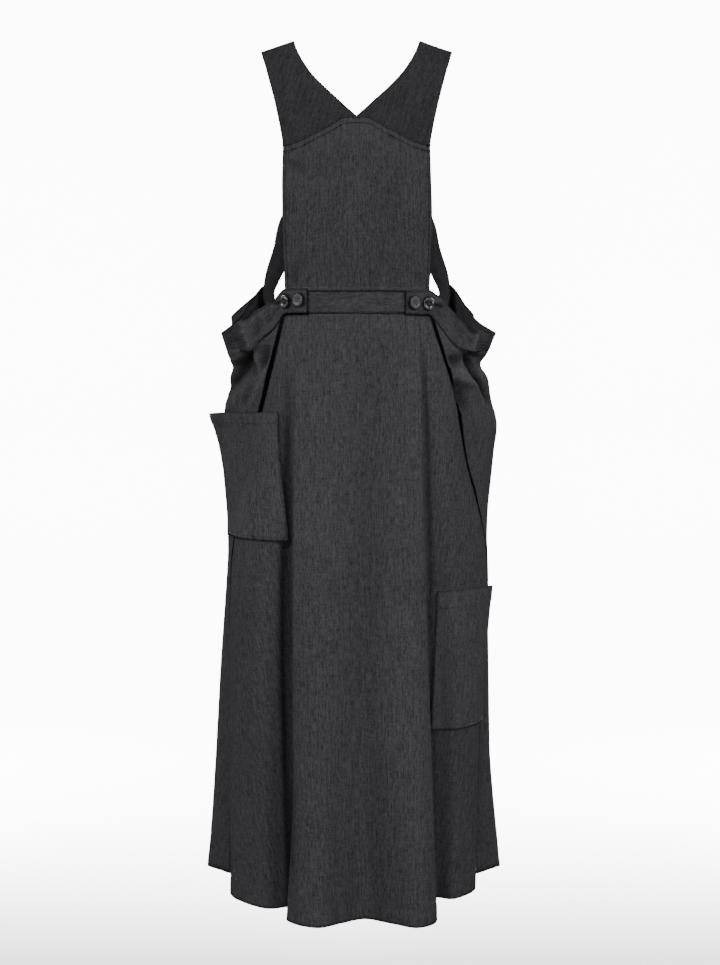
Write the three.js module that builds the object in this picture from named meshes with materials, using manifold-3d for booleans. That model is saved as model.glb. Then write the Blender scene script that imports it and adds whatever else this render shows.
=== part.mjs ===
// Long pinafore dress, worn form, in millimetres.
// X runs to the viewer's right, -Y to the front, Z up; the origin lies midway between the shoulders.
import * as THREE from "three";
import Module from "manifold-3d";

const wasm = await Module();
wasm.setup();

// Driving sizes
const SKIRT_WALL = 1.8;
const BODICE_WALL = 2.0;
const BAND_WALL = 2.2;
const STRAP_WALL = 2.0;
const POCKET_WALL = 1.6;
const SEAM_GAP = 0.3;
const YOKE_SEAM_GAP = 0.55;
const BAND_SEAM_GAP = 0.8;
const STRAP_WIDTH = 50;
const STRAP_CROSSING_RISE = 6.5;
const STRAP_CROSSING_Z = -155;
const STRAP_CROSSING_SPREAD = 70;
const BUTTON_RADIUS = 9;
const BUTTON_THICKNESS = 3.2;
const BUTTON_HOLE_RADIUS = 1.1;
const BUTTON_HOLE_SPACING = 4.2;

// Grid steps
const STEPS_PER_FOLD = 3;
const STEPS_DOWN_SKIRT = 18;
const BAND_STEPS_HIGH = 2;

// Tabs of the back waistband on the front one: x on the front waistband, top z, bottom z
const LEFT_TAB = [
  ["left_tab_end", -69, -359, -394],
  ["left_tab_middle", -86, -358.5, -393.5],
  ["left_tab_root", -101, -359.5, -395],
];
const RIGHT_TAB = [
  ["right_tab_root", 102, -361, -396],
  ["right_tab_middle", 87, -362, -396],
  ["right_tab_end", 69, -364, -396],
];
const TAB_STAND_OFF = 3;
const BUTTON_STAND_OFF = 1.6;

// Back waistband between the tabs, one row per fold, from the left round the back to the right
// name, top x, top y, top z, bottom x, bottom y, bottom z
const BAND = [
  ["left_wrap", -111, -76, -366, -110.5, -77, -404],
  ["left_front_rise", -121, -68, -376, -121, -70, -418],
  ["left_front_fall", -143, -56, -387, -141, -58, -433],
  ["left_crease", -168, -50, -402, -152, -54, -446],
  ["left_tip", -199, -14, -419, -190, -12, -445],
  ["left_return", -176, 14, -398, -175, 16, -436],
  ["left_valley_front", -146, 40, -354, -148, 42, -394],
  ["left_valley_back", -133, 84, -341, -135, 86, -382],
  ["left_back_tip", -190, 110, -387, -185, 112, -427],
  ["left_back_turn", -176, 125, -388, -172, 127, -428],
  ["left_back_fall", -128, 121, -384, -128, 124, -423],
  ["left_back", -60, 112, -376, -60, 115, -414],
  ["centre_back", 0, 108, -373, 0, 111, -411],
  ["right_back", 60, 112, -376, 60, 115, -414],
  ["right_back_fall", 126, 121, -384, 126, 124, -423],
  ["right_back_turn", 164, 125, -387, 162, 127, -427],
  ["right_back_tip", 177, 110, -385, 175, 112, -425],
  ["right_valley_back", 133, 84, -340, 135, 86, -382],
  ["right_valley_front", 146, 40, -352, 148, 42, -393],
  ["right_return", 175, 14, -397, 175, 16, -436],
  ["right_tip", 204, -14, -419, 194, -12, -445],
  ["right_crease", 175, -48, -412, 166, -50, -447],
  ["right_front_fall", 146, -57, -396, 143, -59, -440],
  ["right_front_rise", 124, -68, -373, 122, -70, -416],
  ["right_wrap", 113, -76, -366, 112, -77, -404],
];

// Skirt back, one row per fold, on the same folds as the band from left_wrap to right_wrap
// name, then x and y at hip, low hip, thigh, knee and hem
const SKIRT_BACK = [
  ["left_wrap", -133, -70, -158, -35, -189, 27, -193, 68, -198, 108],
  ["left_front_rise", -153, -57, -170, -24, -192, 40, -199, 82, -208, 122],
  ["left_front_fall", -162, -44, -180, -9, -194, 53, -204, 95, -218, 134],
  ["left_crease", -170, -28, -190, 8, -195, 66, -209, 107, -228, 146],
  ["left_tip", -188, -8, -199, 30, -195, 84, -211, 124, -233, 158],
  ["left_return", -190, 26, -201, 56, -189, 108, -203, 150, -221, 188],
  ["left_valley_front", -186, 44, -199, 71, -181, 120, -191, 160, -206, 196],
  ["left_valley_back", -176, 72, -186, 96, -165, 133, -167, 166, -182, 201],
  ["left_back_tip", -173, 98, -171, 112, -142, 141, -143, 158, -157, 177],
  ["left_back_turn", -160, 116, -150, 124, -125, 146, -124, 160, -133, 176],
  ["left_back_fall", -124, 124, -114, 133, -92, 151, -92, 173, -96, 207],
  ["left_back", -60, 122, -56, 136, -46, 154, -47, 175, -50, 211],
  ["centre_back", 0, 117, 0, 132, 0, 148, -3, 160, -5, 182],
  ["right_back", 60, 122, 56, 136, 46, 154, 43, 174, 44, 206],
  ["right_back_fall", 124, 124, 114, 133, 91, 151, 88, 175, 92, 213],
  ["right_back_turn", 162, 116, 152, 124, 123, 146, 119, 161, 127, 177],
  ["right_back_tip", 176, 98, 173, 112, 140, 141, 138, 157, 151, 176],
  ["right_valley_back", 179, 72, 189, 96, 163, 132, 162, 164, 178, 196],
  ["right_valley_front", 190, 44, 202, 71, 179, 119, 183, 157, 200, 194],
  ["right_return", 195, 26, 204, 56, 187, 107, 193, 147, 213, 189],
  ["right_tip", 193, -8, 203, 30, 193, 84, 200, 119, 224, 156],
  ["right_crease", 177, -28, 195, 8, 196, 64, 199, 102, 216, 143],
  ["right_front_fall", 169, -44, 186, -9, 196, 47, 196, 89, 206, 130],
  ["right_front_rise", 160, -57, 176, -24, 196, 30, 192, 74, 196, 117],
  ["right_wrap", 142, -71, 163, -37, 195, 17, 188, 61, 187, 105],
];

// Skirt front, one row per fold from the right side seam to the left one
// name, x at the waist, then x and y at hip, low hip, thigh, knee and hem
const SKIRT_FRONT = [
  ["right_seam", 104, 137, -75, 159, -42, 194, 10, 186, 51, 182, 97],
  ["right_side", 101, 130, -83, 151, -58, 185, -12, 183, 18, 179, 36],
  ["right_corner", 98, 122, -90, 141, -72, 168, -42, 172, -20, 171, -8],
  ["right_front", 95, 113, -96, 125, -87, 141, -73, 144, -58, 142, -47],
  ["right_inner", 92, 103, -99, 108, -94, 115, -85, 118, -62, 118, -39],
  ["right_fold_back", 89, 93, -100, 95, -98, 97, -92, 99, -75, 99, -54],
  ["right_fold", 87, 89, -110, 90, -117, 95, -128, 104, -143, 113, -159],
  ["right_crest", 66, 68, -116, 70, -126, 75, -146, 81, -174, 86, -200],
  ["right_middle", 35, 38, -118, 40, -127, 44, -142, 48, -162, 50, -178],
  ["centre", 0, 2, -118, 3, -126, 6, -137, 10, -148, 13, -154],
  ["left_middle", -35, -34, -116, -32, -125, -28, -139, -24, -158, -20, -175],
  ["left_crest", -60, -66, -113, -66, -123, -62, -142, -58, -170, -56, -200],
  ["left_fold", -76, -83, -109, -86, -114, -88, -125, -92, -140, -98, -159],
  ["left_fold_back", -82, -89, -106, -92, -104, -92, -99, -86, -86, -80, -76],
  ["left_inner", -87, -97, -104, -106, -100, -113, -96, -112, -92, -104, -92],
  ["left_front", -92, -106, -99, -121, -91, -139, -82, -143, -84, -135, -97],
  ["left_corner", -96, -114, -92, -136, -76, -167, -48, -180, -32, -181, -37],
  ["left_side", -99, -121, -83, -145, -60, -180, -15, -189, 10, -189, 30],
  ["left_seam", -102, -127, -75, -152, -42, -187, 20, -190, 60, -193, 102],
];
const WAIST_Z = -395.8;
const LEVEL_Z = [-500, -600, -760, -1000, -1248];

// Slit at each side: level count down the skirt, share of the way from the wrap to the seam
const SLIT_CLOSING = [
  [0, 0],
  [1.42, 0],
  [1.75, 0.96],
  [5, 0.96],
];

// Depth of the bodice front: z, y at the centre, y at 105 mm to the side
const BODICE_DEPTH = [
  [8, 5, 5],
  [7, 0, 0],
  [2, -18, -18],
  [-15, -42, -40],
  [-50, -72, -66],
  [-95, -91, -82],
  [-150, -104, -88],
  [-230, -112, -88],
  [-300, -112, -84],
  [-360, -108, -80],
  [-400, -108, -80],
];
const BODICE_HALF_WIDTH = 105;
const BODICE_ROUNDNESS = 3.5;

// Yoke and neckline curves of the left side: x, z
const NECKLINE = [
  [-92, 7],
  [-83, -19],
  [-66, -49],
  [-45, -73],
  [-27, -90],
  [-13, -103.5],
  [-1.4, -114],
  [-0.4, -115.2],
  [-0.4, -117.3],
];
const ARMHOLE = [
  [-140, -10],
  [-128, -50],
  [-115, -100],
  [-106.5, -142],
  [-104.5, -157],
];
const YOKE_SEAM = [
  [-104.5, -157],
  [-84, -152],
  [-61, -141],
  [-40, -130.5],
  [-19, -118.5],
  [-0.4, -117.3],
];
const YOKE_STEPS = [10, 14];

// Bib sides: z, left x, right x
const BIB_SIDES = [
  [-157.4, -104.5, 104.5],
  [-215, -105.8, 106.3],
  [-270, -105.5, 107.3],
  [-320, -103.8, 105.8],
  [-358.4, -102.5, 104],
];
const BIB_STEPS = [16, 10];

// Front waistband
const WAISTBAND_TOP_Z = -358.8;
const WAISTBAND_BOTTOM_Z = -395.3;
const WAISTBAND_LEFT_X = -102;
const WAISTBAND_RIGHT_X = 103;

// Back strap from the left shoulder to the right side of the back band
// name, x, y, z, the way it faces: turn from +Y towards +X and lift, in degrees
const STRAP = [
  ["shoulder", -116, 1.0, -1.5, -90, 70.5],
  ["shoulder_top", -116, 10, -1.8, -82, 70],
  ["shoulder_back", -111, 34, -14, -25, 62],
  ["blade", -93, 68, -46, -8, 34],
  ["upper_back", -56, 99, -96, -4, 14],
  ["crossing", 0, 113, -155, 0, 4],
  ["lower_back", 58, 110.5, -203, 24, 0],
  ["side_back", 99, 94, -254, 50, -2],
  ["side", 115, 77.5, -300, 66, -2],
  ["band_top", 130, 63, -342, 74, 0],
  ["band_end", 131.6, 61.5, -370, 73.5, 0],
];
const STRAP_STEPS = [28, 3];

// Patch pockets, edges by share of the height from the mouth down
// share, level, fold at the near edge, fold at the far edge, stand-off at the near edge, at the far edge
const HIP_POCKET = [
  [0, 1.36, 14.8, 23.8, 2.8, 20],
  [0.25, 1.7, 14.5, 23.2, 2.8, 10],
  [0.6, 2.2, 13.9, 22.3, 2.8, 3.5],
  [1, 2.78, 13.2, 21, 2.8, 2.8],
];
const THIGH_POCKET = [
  [0, 3.15, 4.05, 0.2, 2.8, 8],
  [0.25, 3.37, 4.15, 0.3, 2.8, 4.5],
  [0.6, 3.66, 4.3, 0.5, 2.8, 2.8],
  [1, 3.98, 4.5, 0.8, 2.8, 2.8],
];
const POCKET_STEPS = [18, 10];

// Buttons: name, x on the waistband, z, extra turn about the vertical in degrees
const BUTTONS = [
  ["button_left_outer", -98.5, -377, 0],
  ["button_left_inner", -80.5, -375.5, 0],
  ["button_right_inner", 80, -379, 0],
  ["button_right_outer", 99, -380, 0],
];

// Smooth curve through rows, uniform steps; rows are lists of numbers
function smoothRow(rows, at, closed = false) {
  const count = rows.length;
  const last = closed ? count : count - 1;
  const t = closed ? ((at % count) + count) % count : Math.min(Math.max(at, 0), last);
  const start = Math.min(Math.floor(t), last - (closed ? 0 : 1));
  const f = t - start;
  const pick = (i) => {
    if (closed) return rows[((i % count) + count) % count];
    if (i < 0) return rows[0].map((v, k) => 2 * v - rows[1][k]);
    if (i > count - 1) return rows[count - 1].map((v, k) => 2 * v - rows[count - 2][k]);
    return rows[i];
  };
  const [a, b, c, d] = [pick(start - 1), pick(start), pick(start + 1), pick(start + 2)];
  return b.map((v, k) => {
    const slope0 = (c[k] - a[k]) / 2;
    const slope1 = (d[k] - v) / 2;
    const rise = c[k] - v;
    const cubic = slope0 + slope1 - 2 * rise;
    const square = 3 * rise - 2 * slope0 - slope1;
    return ((cubic * f + square) * f + slope0) * f + v;
  });
}

// Value of a table of [x, value...] rows at x, straight between rows
function tableAt(table, x) {
  const falling = table[0][0] > table[table.length - 1][0];
  const rows = falling ? [...table].reverse() : table;
  if (x <= rows[0][0]) return rows[0].slice(1);
  for (let i = 1; i < rows.length; i++) {
    if (x <= rows[i][0]) {
      const f = (x - rows[i - 1][0]) / (rows[i][0] - rows[i - 1][0]);
      return rows[i].slice(1).map((v, k) => rows[i - 1][k + 1] + f * (v - rows[i - 1][k + 1]));
    }
  }
  return rows[rows.length - 1].slice(1);
}

// The same with a smooth curve, by position along the rows
function smoothTableAt(table, x) {
  const falling = table[0][0] > table[table.length - 1][0];
  const rows = falling ? [...table].reverse() : table;
  let at = 0;
  while (at < rows.length - 2 && x > rows[at + 1][0]) at++;
  const f = (x - rows[at][0]) / (rows[at + 1][0] - rows[at][0]);
  return smoothRow(rows.map((r) => r.slice(1)), at + Math.min(Math.max(f, 0), 1));
}

const sub = (a, b) => [a[0] - b[0], a[1] - b[1], a[2] - b[2]];
const add = (a, b, s = 1) => [a[0] + s * b[0], a[1] + s * b[1], a[2] + s * b[2]];
const cross = (a, b) => [
  a[1] * b[2] - a[2] * b[1],
  a[2] * b[0] - a[0] * b[2],
  a[0] * b[1] - a[1] * b[0],
];
const unit = (a) => {
  const length = Math.hypot(...a) || 1;
  return [a[0] / length, a[1] / length, a[2] / length];
};

// Normal of a surface given as a function of two shares
function normalAt(surface, u, v, level) {
  const h = 1e-3;
  const du = sub(surface(u + h, v), surface(u - h, v));
  const dv = sub(surface(u, v + h), surface(u, v - h));
  const n = cross(du, dv);
  if (level) n[2] = 0;
  return unit(n);
}

// Closed shell: the surface moved out by half the wall and in by half the wall, joined at its rims
// surface(u, v) with u and v from 0 to 1; flip turns the outer side round
// topNormal(u), where given, sets the rim's direction at v = 0
function shell(surface, steps, wall, { level = false, flip = false, topNormal = null } = {}) {
  const [nu, nv] = steps;
  const positions = [];
  const side = flip ? -1 : 1;
  for (const s of [1, -1]) {
    for (let j = 0; j <= nv; j++) {
      for (let i = 0; i <= nu; i++) {
        const u = i / nu;
        const v = j / nv;
        const n = topNormal && j === 0 ? topNormal(u) : normalAt(surface, u, v, level);
        positions.push(...add(surface(u, v), n, (s * side * wall) / 2));
      }
    }
  }
  const across = nu + 1;
  const layer = across * (nv + 1);
  const outer = (i, j) => j * across + i;
  const inner = (i, j) => layer + outer(i, j);
  const faces = [];
  const quad = (a, b, c, d) => (flip ? faces.push(a, c, b, a, d, c) : faces.push(a, b, c, a, c, d));
  for (let j = 0; j < nv; j++) {
    for (let i = 0; i < nu; i++) {
      quad(outer(i, j), outer(i + 1, j), outer(i + 1, j + 1), outer(i, j + 1));
      quad(inner(i, j), inner(i, j + 1), inner(i + 1, j + 1), inner(i + 1, j));
    }
  }
  for (let i = 0; i < nu; i++) {
    quad(outer(i + 1, 0), outer(i, 0), inner(i, 0), inner(i + 1, 0));
    quad(outer(i, nv), outer(i + 1, nv), inner(i + 1, nv), inner(i, nv));
  }
  for (let j = 0; j < nv; j++) {
    quad(outer(0, j), outer(0, j + 1), inner(0, j + 1), inner(0, j));
    quad(outer(nu, j + 1), outer(nu, j), inner(nu, j), inner(nu, j + 1));
  }
  const geometry = new THREE.BufferGeometry();
  geometry.setAttribute("position", new THREE.Float32BufferAttribute(positions, 3));
  geometry.setIndex(faces);
  return geometry;
}

// Bodice front
function bodicePoint(x, z) {
  const [centre, side] = smoothTableAt(BODICE_DEPTH, z);
  const share = Math.abs(x / BODICE_HALF_WIDTH) ** BODICE_ROUNDNESS;
  return [x, centre + (side - centre) * share, z];
}
function bodiceOut(x, z) {
  const slope = sub(bodicePoint(x + 0.5, z), bodicePoint(x - 0.5, z));
  return unit(cross(slope, [0, 0, 1]));
}
const onWaistband = (x, z, off) => add(bodicePoint(x, z), bodiceOut(x, z), off);
const curveAt = (rows, share) => smoothRow(rows, share * (rows.length - 1));

// Skirt ring: folds run from the right seam over the front to the left seam and round the back
const tabRow = ([, x, top, bottom]) => [...onWaistband(x, top, TAB_STAND_OFF), ...onWaistband(x, bottom, TAB_STAND_OFF)];
const bandRows = [...LEFT_TAB.map(tabRow), ...BAND.map((r) => r.slice(1)), ...RIGHT_TAB.map(tabRow)];
const bandBottom = bandRows.map((r) => r.slice(3, 6));
const bandTop = bandRows.map((r) => r.slice(0, 3));
const BAND_WRAP_LEFT = LEFT_TAB.length;
const frontFolds = SKIRT_FRONT.length;
const backFolds = SKIRT_BACK.length;
const ringFolds = frontFolds + backFolds;

function levelsOfFront(row) {
  const points = [bodicePoint(row[1], WAIST_Z)];
  LEVEL_Z.forEach((z, k) => points.push([row[2 + 2 * k], row[3 + 2 * k], z]));
  return points;
}
function levelsOfBack(row, fold) {
  const top = bandBottom[fold + BAND_WRAP_LEFT];
  const points = [[top[0], top[1], top[2] - BAND_SEAM_GAP]];
  LEVEL_Z.forEach((z, k) => points.push([row[1 + 2 * k], row[2 + 2 * k], z]));
  return points;
}
const ringRows = [...SKIRT_FRONT.map(levelsOfFront), ...SKIRT_BACK.map(levelsOfBack)];
const waistRows = SKIRT_FRONT.map((row) => [row[1]]);
const ringLevels = [0, 1, 2, 3, 4, 5].map((k) => ringRows.map((row) => row[k]));
const LEFT_SEAM = frontFolds - 1;
const LEFT_WRAP = frontFolds;
const RIGHT_WRAP = ringFolds - 1;

// Point of the ring at a fold count and a level count
function ringAt(fold, level) {
  const closedLevels = ringLevels.map((rows) => smoothRow(rows, fold, true));
  if (fold <= LEFT_SEAM) {
    const [waistX] = smoothRow(waistRows, fold);
    closedLevels[0] = bodicePoint(waistX, WAIST_Z);
  } else if (fold > LEFT_WRAP && fold < RIGHT_WRAP) {
    const top = smoothRow(bandBottom, fold - LEFT_WRAP + BAND_WRAP_LEFT);
    closedLevels[0] = [top[0], top[1], top[2] - BAND_SEAM_GAP];
  }
  return smoothRow(closedLevels, level);
}

const skirtFront = (u, v) => ringAt(u * LEFT_SEAM, v * 5);
function skirtBack(u, v) {
  const level = Math.min(Math.max(v, 0), 1) * 5;
  const closing = tableAt(SLIT_CLOSING, level)[0];
  const from = LEFT_WRAP - closing;
  const to = RIGHT_WRAP + closing;
  return ringAt(from + u * (to - from), v * 5);
}

// Yoke as a patch between its neckline, armhole, shoulder and seam; side is 1 on the left, -1 on the right
function yoke(side) {
  return (u, v) => {
    const inner = curveAt(NECKLINE, v);
    const outer = curveAt(ARMHOLE, v);
    const top = [0, 1].map((k) => ARMHOLE[0][k] + u * (NECKLINE[0][k] - ARMHOLE[0][k]));
    const bottom = curveAt(YOKE_SEAM, u);
    const corners = [ARMHOLE[0], NECKLINE[0], YOKE_SEAM[0], YOKE_SEAM[YOKE_SEAM.length - 1]];
    const [x, z] = [0, 1].map((k) => {
      const between = outer[k] * (1 - u) + inner[k] * u + top[k] * (1 - v) + bottom[k] * v;
      const bilinear =
        (1 - u) * (1 - v) * corners[0][k] +
        u * (1 - v) * corners[1][k] +
        (1 - u) * v * corners[2][k] +
        u * v * corners[3][k];
      return between - bilinear;
    });
    const drop = (1 - v) ** 2 * (NECKLINE[0][1] - top[1]);
    const [, y] = bodicePoint(x, z + drop);
    return [side * x, y, z];
  };
}

function bib(u, v) {
  const x0 = 2 * u - 1;
  const seamShare = 1 - Math.abs(x0);
  const seam = curveAt(YOKE_SEAM, seamShare);
  const topZ = seam[1] - YOKE_SEAM_GAP;
  const bottomZ = BIB_SIDES[BIB_SIDES.length - 1][0] - SEAM_GAP;
  const z = topZ + v * (bottomZ - topZ);
  const [left, right] = smoothTableAt(BIB_SIDES, z);
  const reach = Math.abs(seam[0]) / Math.abs(YOKE_SEAM[0][0]);
  const even = Math.abs(x0);
  const across = reach + (even - reach) * v;
  const x = x0 < 0 ? left * across : right * across;
  return bodicePoint(x, z);
}

function waistbandFront(u, v) {
  const x = WAISTBAND_LEFT_X + u * (WAISTBAND_RIGHT_X - WAISTBAND_LEFT_X);
  const z = WAISTBAND_TOP_Z + v * (WAISTBAND_BOTTOM_Z - WAISTBAND_TOP_Z);
  return bodicePoint(x, z);
}

function waistbandBack(u, v) {
  const fold = u * (bandRows.length - 1);
  const top = smoothRow(bandTop, fold);
  const bottom = smoothRow(bandBottom, fold);
  return add(top, sub(bottom, top), v);
}

// Rim of the skirt back along the band, so that both edges lean the same way
function bandRim(u) {
  const fold = u * (backFolds - 1) + BAND_WRAP_LEFT;
  return normalAt(waistbandBack, fold / (bandRows.length - 1), 1, true);
}

// Back strap: a strip along its path, turned to face the way its row states
function strap(side, rise) {
  const path = STRAP.map((r) => r.slice(1));
  return (u, v) => {
    const [x, y, z, turn, lift] = smoothRow(path, u * (path.length - 1));
    const before = smoothRow(path, u * (path.length - 1) - 0.02);
    const after = smoothRow(path, u * (path.length - 1) + 0.02);
    const along = unit(sub(after, before));
    const a = (turn * Math.PI) / 180;
    const b = (lift * Math.PI) / 180;
    const facing = [Math.sin(a) * Math.cos(b), Math.cos(a) * Math.cos(b), Math.sin(b)];
    const across = unit(cross(facing, along));
    const bump = rise * Math.exp(-(((z - STRAP_CROSSING_Z) / STRAP_CROSSING_SPREAD) ** 2));
    const centre = add([x, y, z], facing, bump);
    const point = add(centre, across, (v - 0.5) * STRAP_WIDTH);
    return [-side * point[0], point[1], point[2]];
  };
}

// Patch pocket on the skirt ring
function pocket(rows) {
  return (u, v) => {
    const [level, near, far, offNear, offFar] = smoothTableAt(rows, v);
    const fold = near + u * (far - near);
    const off = offNear + (offFar - offNear) * u ** 3;
    const n = normalAt((a, b) => ringAt(a, b), fold, level, true);
    return add(ringAt(fold, level), n, off);
  };
}

function button(x, z, turn) {
  const disc = wasm.Manifold.revolve(
    [
      [
        [0, 0],
        [BUTTON_RADIUS - 1, 0],
        [BUTTON_RADIUS, 1.1],
        [BUTTON_RADIUS, 2.2],
        [BUTTON_RADIUS - 1.2, BUTTON_THICKNESS],
        [BUTTON_RADIUS - 2.6, BUTTON_THICKNESS - 0.5],
        [0, BUTTON_THICKNESS - 0.9],
      ],
    ],
    28,
  );
  let made = disc;
  for (const dx of [-1, 1]) {
    for (const dy of [-1, 1]) {
      const hole = wasm.Manifold.cylinder(8, BUTTON_HOLE_RADIUS, BUTTON_HOLE_RADIUS, 8).translate([
        (dx * BUTTON_HOLE_SPACING) / 2,
        (dy * BUTTON_HOLE_SPACING) / 2,
        -2,
      ]);
      made = made.subtract(hole);
    }
  }
  const mesh = made.getMesh();
  const geometry = new THREE.BufferGeometry();
  const points = [];
  for (let i = 0; i < mesh.numVert; i++) {
    points.push(...mesh.vertProperties.subarray(i * mesh.numProp, i * mesh.numProp + 3));
  }
  geometry.setAttribute("position", new THREE.Float32BufferAttribute(points, 3));
  geometry.setIndex([...mesh.triVerts]);
  const out = bodiceOut(x, z);
  const seat = onWaistband(x, z, TAB_STAND_OFF + BUTTON_STAND_OFF);
  geometry.rotateX(Math.PI / 2);
  geometry.rotateZ(Math.atan2(out[0], -out[1]) + (turn * Math.PI) / 180);
  geometry.translate(...seat);
  return geometry;
}

// Materials
const cloth = (name, colour) =>
  Object.assign(new THREE.MeshStandardMaterial({ color: colour, roughness: 0.9 }), { name });

const part = new THREE.Group();
function place(name, geometry, colour) {
  const mesh = new THREE.Mesh(geometry, cloth(name, colour));
  mesh.name = name;
  part.add(mesh);
}

place("yoke_left", shell(yoke(1), YOKE_STEPS, BODICE_WALL, { flip: false }), 0x303032);
place("yoke_right", shell(yoke(-1), YOKE_STEPS, BODICE_WALL, { flip: true }), 0x303032);
place("bib", shell(bib, BIB_STEPS, BODICE_WALL, {}), 0x38383b);
place("waistband_front", shell(waistbandFront, [16, 2], BAND_WALL, {}), 0x343437);
place("skirt_front", shell(skirtFront, [LEFT_SEAM * STEPS_PER_FOLD, STEPS_DOWN_SKIRT], SKIRT_WALL, { level: true }), 0x37373b);
place("skirt_back", shell(skirtBack, [(backFolds - 1) * STEPS_PER_FOLD, STEPS_DOWN_SKIRT], SKIRT_WALL, { level: true, topNormal: bandRim }), 0x37373b);
place("waistband_back", shell(waistbandBack, [(bandRows.length - 1) * STEPS_PER_FOLD, BAND_STEPS_HIGH], BAND_WALL, { level: true }), 0x343437);
place("back_strap_left", shell(strap(-1, 0), STRAP_STEPS, STRAP_WALL, {}), 0x303032);
place("back_strap_right", shell(strap(1, STRAP_CROSSING_RISE), STRAP_STEPS, STRAP_WALL, {}), 0x303032);
place("pocket_hip", shell(pocket(HIP_POCKET), POCKET_STEPS, POCKET_WALL, { level: true }), 0x37373b);
place("pocket_thigh", shell(pocket(THIGH_POCKET), POCKET_STEPS, POCKET_WALL, { level: true, flip: true }), 0x37373b);
for (const [name, x, z, turn] of BUTTONS) place(name, button(x, z, turn), 0x1a1a1c);

export default part;
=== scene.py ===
import math

import bmesh
import bpy
import numpy as np
from mathutils import Matrix, Vector


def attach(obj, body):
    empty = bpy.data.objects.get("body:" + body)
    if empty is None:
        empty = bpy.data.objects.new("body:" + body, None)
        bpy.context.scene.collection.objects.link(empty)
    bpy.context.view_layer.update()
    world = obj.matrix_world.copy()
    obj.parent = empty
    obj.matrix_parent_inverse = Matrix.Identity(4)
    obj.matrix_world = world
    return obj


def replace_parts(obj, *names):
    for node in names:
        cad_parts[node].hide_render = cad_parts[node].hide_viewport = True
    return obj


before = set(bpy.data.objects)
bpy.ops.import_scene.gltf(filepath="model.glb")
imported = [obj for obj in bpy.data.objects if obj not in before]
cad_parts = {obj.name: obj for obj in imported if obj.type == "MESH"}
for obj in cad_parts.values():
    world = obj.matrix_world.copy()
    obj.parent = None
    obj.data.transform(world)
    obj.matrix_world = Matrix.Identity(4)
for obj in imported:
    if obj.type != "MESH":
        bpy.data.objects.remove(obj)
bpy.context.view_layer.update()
MM = 0.001

# Cloth thickness, in millimetres like all lengths on the dress; flat sizes and the studio are in metres
SKIRT_THICKNESS = 0.9
POCKET_THICKNESS = 1.0
BIB_THICKNESS = 1.1
YOKE_THICKNESS = 1.4
STRAP_THICKNESS = 1.5
BAND_THICKNESS = 1.8

# Levels of the skirt, seams, hem and tucked seam allowances
WAIST_Z = -395.8
LEVEL_Z = [-500, -600, -760, -1000, -1248]
LAST_LEVEL = len(LEVEL_Z)
SKIRT_ROWS = 220
SEAM_GAP = 0.3
BAND_SEAM_GAP = 0.8
HEM_WIDTH = 20.0
HEM_RISE = 0.5
HEM_GROOVE = 2.2
PUCKER_REACH = 9.0
PUCKER_UNDER = 0.6
TUCK_DEPTH = 1.5

# Rows of a tucked seam allowance: share of its length, share of its depth
TUCK_ROWS = ((0.02, 0.85), (1, 1))

# Puckers along a hem: share of their height, length along the hem, length down
HEM_PUCKERS = ((1.0, 11, 60), (0.5, 5, 30))

# Tabs on the front waistband: x on the waistband, top z, bottom z
LEFT_TAB = [(-69, -359, -394), (-86, -358.5, -393.5), (-101, -359.5, -395)]
RIGHT_TAB = [(102, -361, -396), (87, -362, -396), (69, -364, -396)]
TAB_STAND_OFF = 3.0
TAB_REACH = 67.0
BUTTON_STAND_OFF = 1.6

# Back waistband: name, top x, y, z, bottom x, y, z
BAND = [
    ("left_wrap", -111, -76, -366, -110.5, -77, -404),
    ("left_front_rise", -121, -68, -376, -121, -70, -418),
    ("left_front_fall", -143, -56, -387, -141, -58, -433),
    ("left_crease", -168, -50, -402, -152, -54, -446),
    ("left_tip", -199, -14, -419, -190, -12, -445),
    ("left_return", -176, 14, -398, -175, 16, -436),
    ("left_valley_front", -146, 40, -354, -148, 42, -394),
    ("left_valley_back", -133, 84, -341, -135, 86, -382),
    ("left_back_tip", -190, 110, -387, -185, 112, -427),
    ("left_back_turn", -176, 125, -388, -172, 127, -428),
    ("left_back_fall", -128, 121, -384, -128, 124, -423),
    ("left_back", -60, 112, -376, -60, 115, -414),
    ("centre_back", 0, 108, -373, 0, 111, -411),
    ("right_back", 60, 112, -376, 60, 115, -414),
    ("right_back_fall", 126, 121, -384, 126, 124, -423),
    ("right_back_turn", 164, 125, -387, 162, 127, -427),
    ("right_back_tip", 177, 110, -385, 175, 112, -425),
    ("right_valley_back", 133, 84, -340, 135, 86, -382),
    ("right_valley_front", 146, 40, -352, 148, 42, -393),
    ("right_return", 175, 14, -397, 175, 16, -436),
    ("right_tip", 204, -14, -419, 194, -12, -445),
    ("right_crease", 175, -48, -412, 166, -50, -447),
    ("right_front_fall", 146, -57, -396, 143, -59, -440),
    ("right_front_rise", 124, -68, -373, 122, -70, -416),
    ("right_wrap", 113, -76, -366, 112, -77, -404),
]

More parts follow.
